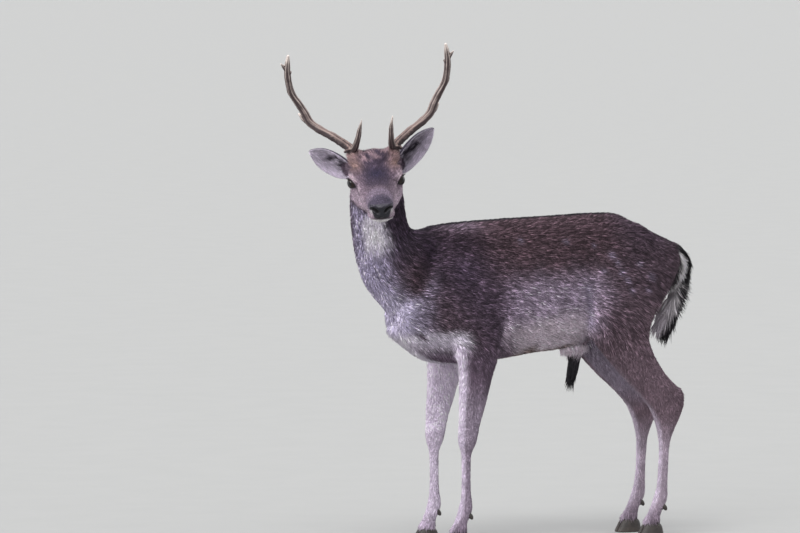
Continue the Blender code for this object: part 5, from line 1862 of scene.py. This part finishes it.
def eyeball(sign):
    out, ahead, up = (Vector(v) for v in eye_axes(sign))
    rings, flat = [], []
    for i in range(1, EYE_RINGS):
        wide = math.pi * (i / EYE_RINGS) ** 1.15
        radius = EYE_RADIUS + CORNEA_RISE * math.exp(-(wide / CORNEA_WIDTH) ** 2)
        reach = MAP_REACH * wide / math.pi
        ring = []
        for k in range(EYE_POINTS):
            turn = 2 * math.pi * k / EYE_POINTS
            c, s = math.cos(turn), math.sin(turn)
            way = out * math.cos(wide) + (ahead * c + up * s) * math.sin(wide)
            ring.append(eye_centre(sign) + way * radius)
            flat.append((0.5 + reach * c, 0.5 + reach * s))
        rings.append(ring)
    data = closed_loft(rings)
    flat = np.array(flat + [tuple(np.mean(flat[:EYE_POINTS], axis=0)), (0.5 + MAP_REACH, 0.5)])
    data.transform(INTO_WORLD)
    loops = rows_of(data.loops, "vertex_index", 1)[:, 0]
    store(data, "OFBake", flat[loops], "FLOAT2", "CORNER", "vector")
    store(data, "gaze", np.column_stack([(flat - 0.5) * math.pi / MAP_REACH, flat[:, 0] * 0]),
          "FLOAT_VECTOR", field="vector")
    return data


print("an eyeball has", EYE_RINGS - 1, "rings of", EYE_POINTS, "points")

# %% Colour the eyes
PUPIL_WIDE, PUPIL_HIGH = 0.19, 0.075          # squares of its half width and height, radians


def below(plan, value, edge, soft_edge):
    """1 where a value is below an edge, with a soft step."""
    return plan.add("ShaderNodeMapRange", {"interpolation_type": "SMOOTHSTEP"},
                    {"Value": value, "From Min": edge, "From Max": soft_edge})["Result"]


eye_material, plan, shader = new_material("eye")
gaze = plan.add("ShaderNodeSeparateXYZ", {}, {"Vector": stored(plan, "gaze", "Vector")})
wide, high = gaze["X"], gaze["Y"]
reach = (wide * wide + high * high) ** 0.5
oval_reach = (wide * wide / PUPIL_WIDE + high * high / PUPIL_HIGH) ** 0.5
inside_pupil = below(plan, oval_reach, 1.08, 0.92)
inside_iris = below(plan, reach, 0.86, 0.76)
fibres = noise_on(plan, 420, 4)
iris = mixed(plan, fibres, (0.006, 0.003, 0.002, 1), (0.022, 0.009, 0.004, 1))
white_of_eye = mixed(plan, fibres, (0.004, 0.003, 0.003, 1), (0.010, 0.007, 0.006, 1))
plan.feed(shader, {
    "Base Color": mixed(plan, inside_pupil, mixed(plan, inside_iris, white_of_eye, iris),
                        (0.002, 0.002, 0.004, 1)),
    "Roughness": 0.03 + fibres * 0.03,
    "IOR": 1.38})
eyes = {side: new_piece("wet_eye_" + side, eyeball(sign), eye_material)
        for side, sign in SIDES.items()}
print("eyeballs", [len(piece.data.polygons) for piece in eyes.values()], "faces")

# %% Model the lashes
LASHES, LASH_THICK = 46, 0.00030
LASH_FIRST, LASH_SWEEP = 8, 164               # degrees round the upper lid
lash_material, plan, shader = new_material("lash")
plan.feed(shader, {"Base Color": mixed(plan, noise_on(plan, 700), (0.004, 0.003, 0.004, 1),
                                        (0.018, 0.012, 0.014, 1)),
                    "Roughness": 0.4 + noise_on(plan, 300) * 0.2})


def bent_spike(root, way, droop, length, thick):
    """A thin tapering hair that starts along way and bends toward droop."""
    side_ = way.cross(droop).normalized()
    up_way = side_.cross(way).normalized()
    rings = []
    for i in range(6):
        t = i / 5
        place = root + way * (length * t) + droop * (length * 0.45 * t * t)
        radius = thick * (1 - t) ** 0.7 + 0.00003
        rings.append([place + side_ * (radius * math.cos(a)) + up_way * (radius * math.sin(a))
                      for a in (0.0, 2.1, 4.2)])
    return closed_loft(rings)


def lashes(sign, random):
    out, ahead, up = (Vector(v) for v in eye_axes(sign))
    hairs = []
    for k in range(LASHES):
        share = (k + random.uniform(-0.4, 0.4)) / (LASHES - 1)
        bearing = math.radians(LASH_FIRST + LASH_SWEEP * share)
        c, s = math.cos(bearing), math.sin(bearing)
        wide = OPEN_FRONT if c > 0 else OPEN_BACK
        reach = 1.02 / ((abs(c) / wide) ** ALMOND + (abs(s) / OPEN_UP) ** ALMOND) ** (1 / ALMOND)
        rim = ahead * c + up * s
        away = out * math.cos(reach) + rim * math.sin(reach)
        way = (out * 0.95 + rim * 0.35 + ahead * random.uniform(-0.15, 0.05)).normalized()
        length = random.uniform(0.0065, 0.0095) * (0.65 + 0.35 * s)
        hairs.append(bent_spike(eye_centre(sign) + away * (EYE_RADIUS + CORNEA_RISE), way,
                                (up * 0.4 - ahead * 0.5).normalized(), length, LASH_THICK))
    data = joined(hairs)
    data.transform(INTO_WORLD)
    return data


dice = np.random.default_rng(5)
for side, sign in SIDES.items():
    eyes["lashes_" + side] = new_piece("lashes_" + side, lashes(sign, dice), lash_material)
print("eyes and lashes", [len(piece.data.polygons) for piece in eyes.values()], "faces")

# %% [markdown]
# ## Antlers
# Antler is bone that grew under a skin with veins, so it has long grooves, pearly bumps near the
# foot and a knobbly ring, the burr.  The rods are melted together in voxels, so the forks have
# webs as real ones do, and the surface is then moved along its normals: grooves follow the angle
# round the beam, pearls are lumps that fade with height.

# %% Rods and burr
BURR_CENTRE, BURR_AXIS = Vector((-0.0625, 0.061, 0.072)), (-0.35, 0.50, 0.80)
BURR_RADIUS, BURR_HALF_HEIGHT, BURR_KNOBS = 0.0150, 0.0042, 17


def rod(rows):
    """A round tube along rows of place and radius."""
    path = smooth_rows(rows, 6)
    rings, first = [], Vector((1, 0, 0))
    for i, row in enumerate(path):
        way = Vector(path[min(i + 1, len(path) - 1), :3] - path[max(i - 1, 0), :3]).normalized()
        side_ = (first - way * first.dot(way)).normalized()
        other = way.cross(side_)
        rings.append([Vector(row[:3]) + (side_ * math.cos(a) + other * math.sin(a)) * row[3]
                      for a in np.linspace(0, 2 * math.pi, 24, endpoint=False)])
    return closed_loft(rings)


def burr(random):
    """A flat ring with a row of knobs."""
    axis = Vector(BURR_AXIS).normalized()
    first = axis.orthogonal().normalized()
    second = axis.cross(first)
    knobs = [ball(BURR_CENTRE, (BURR_RADIUS, BURR_RADIUS, BURR_HALF_HEIGHT), BURR_AXIS, 24)]
    for k in range(BURR_KNOBS):
        turn = 2 * math.pi * (k + random.uniform(-0.25, 0.25)) / BURR_KNOBS
        size = random.uniform(0.0028, 0.0042)
        rim = (first * math.cos(turn) + second * math.sin(turn)) * BURR_RADIUS
        place = BURR_CENTRE + rim + axis * random.uniform(-0.0012, 0.0012)
        knobs.append(ball(place, (size, size, size * 0.9), (0, 0, 1), 12))
    return joined(knobs)


print("a burr has", BURR_KNOBS, "knobs")

# %% Grooves and pearls
HORN_GRAIN, HORN_ROUNDS = 0.00125, 5          # size of face, rounds of smoothing
GROOVE, PEARL, SWELL, TOOTH = 0.00050, 0.0022, 0.0012, 0.00022    # how far each moves the surface


def grooves_of(places, paths):
    """Ridges round the nearest rod at each place, and how far out along the antler it is."""
    wander = 1.4 * lumps(places, 0.05, 21)
    near, grooved, share = np.full(len(places), 9.0), np.zeros(len(places)), np.zeros(len(places))
    for name, rows in paths.items():
        line = smooth_rows(rows, 4)
        away, along_ = path_distance(places, line[:, :3])
        on_line = read_along(line, along_)
        off = places - on_line[:, :3]
        angle = np.arctan2(off[:, 1], off[:, 0])
        ridges = (0.55 * np.sin(6 * angle + wander + 5 * along_)
                  + 0.45 * np.sin(11 * angle - 2 * wander))
        away = away / np.maximum(on_line[:, 3], 0.002)
        closer = away < near
        near, grooved = np.where(closer, away, near), np.where(closer, ridges, grooved)
        share = np.where(closer, along_ if name == "beam" else 0.35 + 0.65 * along_, share)
    return grooved, share


def horn(side, random):
    lean = BROW_TINE_LEAN[side]
    brow = [(a, b + lean * (i / 4) ** 2, c, r) for i, (a, b, c, r) in enumerate(BROW_TINE)]
    paths = {"beam": BEAM, "brow": brow, "spur": BACK_SPUR, "top": TOP_TINE}
    data = one_skin(joined([rod(rows) for rows in paths.values()] + [burr(random)]),
                    HORN_GRAIN, HORN_ROUNDS)
    places = points_of(data)
    grooved, share = grooves_of(places, paths)
    beyond_burr = ramp(np.linalg.norm(places - np.array(BURR_CENTRE), axis=1), 0.018, 0.024)
    pearls = np.maximum(0, lumps(places, 0.0042, 22) - 0.28) * ramp(share, 0.50, 0.10)
    rise_ = (GROOVE * grooved * ramp(share, 0.99, 0.90) * beyond_burr + PEARL * pearls
             + SWELL * lumps(places, 0.016, 23) * beyond_burr + TOOTH * lumps(places, 0.003, 24))
    set_points(data, places + normals_of(data) * rise_[:, None])
    worn = (0.5 + 0.30 * grooved + 0.45 * pearls) * (0.55 + 0.6 * share)
    store(data, "worn", np.clip(worn + 0.35 * ramp(share, 0.86, 1.0), 0, 1))
    store(data, "height", share)
    data = moved(data, INTO_WORLD @ Matrix.Diagonal((1, SIDES[side], 1, 1)))
    # How far each face turns up, for a painted highlight on the antler's upper faces
    store(data, "skyward", normals_of(data)[:, 2])
    return data


print("grooves ready")

# %% Model the antlers
horn_material, plan, shader = new_material("antler")
worn, high_up = stored(plan, "worn"), stored(plan, "height")
grain = noise_on(plan, 160, 5)
painted_highlight = stored(plan, "skyward")
dark = mixed(plan, high_up, (0.022, 0.011, 0.013, 1), (0.045, 0.026, 0.028, 1))
pale = mixed(plan, high_up, (0.400, 0.240, 0.205, 1), (0.800, 0.700, 0.640, 1))
# The pale end comes from wear on ridges, pearls and tips, and from a painted highlight on faces
# turned up
plan.feed(shader, {
    "Base Color": mixed(plan, plan.add("ShaderNodeMath", {"operation": "ADD", "use_clamp": True}, {
        0: (worn - 0.30) * (1.0 + grain * 1.0), 1: painted_highlight * 0.42 - 0.05})[0], dark, pale),
    "Roughness": 0.60 - worn * 0.18 + grain * 0.15,
    "Normal": bump(plan, grain + noise_on(plan, 700) * 0.5, 0.4, 0.0008)})
antlers = {}
for side, sign in SIDES.items():
    antlers[side] = new_piece("horn_" + side, horn(side, np.random.default_rng(8 + sign)),
                              horn_material)
print("antlers", [len(piece.data.polygons) for piece in antlers.values()], "faces")

# %% [markdown]
# ## Hooves
# Each foot has two claws and, above and behind them, two dewclaws.  The wall of a claw shows fine
# rings of growth, so the rings are in the mesh as well as in the colour.

# %% The shape of a claw
CLAW_POINTS, RIPPLE, FINE_RINGS, COARSE_RINGS = 44, 0.004, 1500, 640
SOLE_TUCK, TOP_TUCK = (0.05, 0.0025), (0.24, 0.0055)      # how much, and over what height
MIDDLE_SHARE = 0.30           # where a claw is longest, from its flat inner side outwards


def claw(place_x, place_y, outward_way):
    rings = []
    for height_, toe, heel, inner_y, outer_y in smooth_rows(CLAW, 9):
        middle, reach_, thick = (toe + heel) / 2, (heel - toe) / 2, outer_y - inner_y
        ripple = 1 + RIPPLE * (math.sin(height_ * FINE_RINGS) + math.sin(height_ * COARSE_RINGS))
        tuck = 1 - SOLE_TUCK[0] * math.exp(-(height_ / SOLE_TUCK[1]) ** 2)
        tuck -= TOP_TUCK[0] * math.exp(-((CLAW[-1][0] - height_) / TOP_TUCK[1]) ** 2)
        ring = []
        for k in range(CLAW_POINTS):
            turn = 2 * math.pi * k / CLAW_POINTS
            along_, wide = math.cos(turn), abs(math.sin(turn)) ** 0.8
            share = MIDDLE_SHARE * (1 - wide)
            if math.sin(turn) > 0:
                taper = 1 - 0.30 * max(0.0, -along_)
                share = (MIDDLE_SHARE + (1 - MIDDLE_SHARE) * wide * taper) * ripple * tuck
            ring.append((place_x + middle + reach_ * along_ * ripple * tuck,
                         place_y + outward_way * (inner_y + thick * share), height_))
        rings.append(ring)
    return moved(closed_loft(rings), Matrix.Translation(SHIFT))


print("a claw has", CLAW_POINTS, "points round it")

# %% Model the hooves
hoof_material, plan, shader = new_material("hoof")
height_node = plan.add("ShaderNodeSeparateXYZ", {}, {"Vector": places_of(plan)})["Z"]
rings_ = plan.add("ShaderNodeMath", {"operation": "SINE"}, {0: height_node * FINE_RINGS})[0]
dust = noise_on(plan, 120, 5)
low_down = plan.add("ShaderNodeMapRange", {}, {"Value": height_node, "From Min": 0.016,
                                              "From Max": 0.0})["Result"]
plan.feed(shader, {
    "Base Color": mixed(plan, dust * 0.55 + low_down * 0.35 + rings_ * 0.06,
                        (0.010, 0.008, 0.008, 1), (0.085, 0.068, 0.058, 1)),
    "Roughness": 0.38 + dust * 0.3,
    "Normal": bump(plan, rings_ * 0.4 + dust, 0.3, 0.0008)})
print("hoof material with", len(plan.tree.nodes), "nodes")

# %% Set claws and dewclaws on the feet
FEET = {"fore": (-0.288, STANCE_FORE, FORE_STEP), "hind": (0.298, STANCE_HIND, HIND_STEP)}
DEW_HEIGHT, DEW_OUT, DEW_SUNK = 0.079, 0.010, 0.0015
DEW_RADII, DEW_AIM = (0.0062, 0.0052, 0.0105), (0.55, 0, -0.80)
hooves, dewclaws = {}, []
for side, sign in SIDES.items():
    for leg, (toe_x, stance, step) in FEET.items():
        for name, way in (("inner", sign), ("outer", -sign)):
            foot = leg + "_" + side + "_" + name
            hooves["hoof_" + foot] = new_piece(
                "claw_" + foot, claw(toe_x + step[side], -sign * stance, way), hoof_material)
            spot_y = -sign * stance + way * DEW_OUT
            heel = x[(np.abs(x - toe_x) < 0.12) & (np.abs(z - 0.082) < 0.006)
                     & (np.abs(y - spot_y) < 0.006)].max()
            dewclaws.append(ball(Vector((heel - DEW_SUNK, spot_y, DEW_HEIGHT)) + SHIFT,
                                 DEW_RADII, DEW_AIM, 20))
dew = new_piece("dewclaws", joined(dewclaws), hoof_material)
print("hooves", [len(piece.data.polygons) for piece in hooves.values()], "faces")

# %% [markdown]
# ## Floor, and the pieces in place
# The floor is plain and pale.  Every piece then rides the one still body and takes the place of
# the solids it was made for.

# %% Lay the floor
floor_material, plan, shader = new_material("floor")
plan.feed(shader, {
    "Base Color": mixed(plan, noise_on(plan, 6, 4), (0.400, 0.401, 0.390, 1),
                        (0.430, 0.431, 0.418, 1)),
    "Roughness": 0.75 + noise_on(plan, 30) * 0.1})
floor.data.materials.append(floor_material)
print("floor material with", len(plan.tree.nodes), "nodes")

# %% Put the pieces in place of the solids
skin = new_piece("skin", skin_mesh)
for node in frame["nodes"]:
    if not node.startswith(("eye", "antler", "hoof")):
        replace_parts(skin, node)
for side in SIDES:
    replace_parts(eyes[side], "eye_" + side)
    for node in frame["nodes"]:
        if node.startswith("antler_" + side):
            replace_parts(antlers[side], node)
for node, piece in hooves.items():
    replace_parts(piece, node)
SLOTS = {"coat": [skin, *coat], "eye": list(eyes.values()), "antler": list(antlers.values()),
         "hoof": [*hooves.values(), dew]}
for slot_name, pieces in SLOTS.items():
    for piece in pieces:
        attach(piece, BODY)
for kind in kinds_of_tuft.values():
    for item in list(kind.objects):
        bpy.data.objects.remove(item, do_unlink=True)
    bpy.data.collections.remove(kind)
triangles = sum(len(piece.data.loops) - 2 * len(piece.data.polygons)
                for pieces in SLOTS.values() for piece in pieces)
print("whole model", triangles, "triangles")
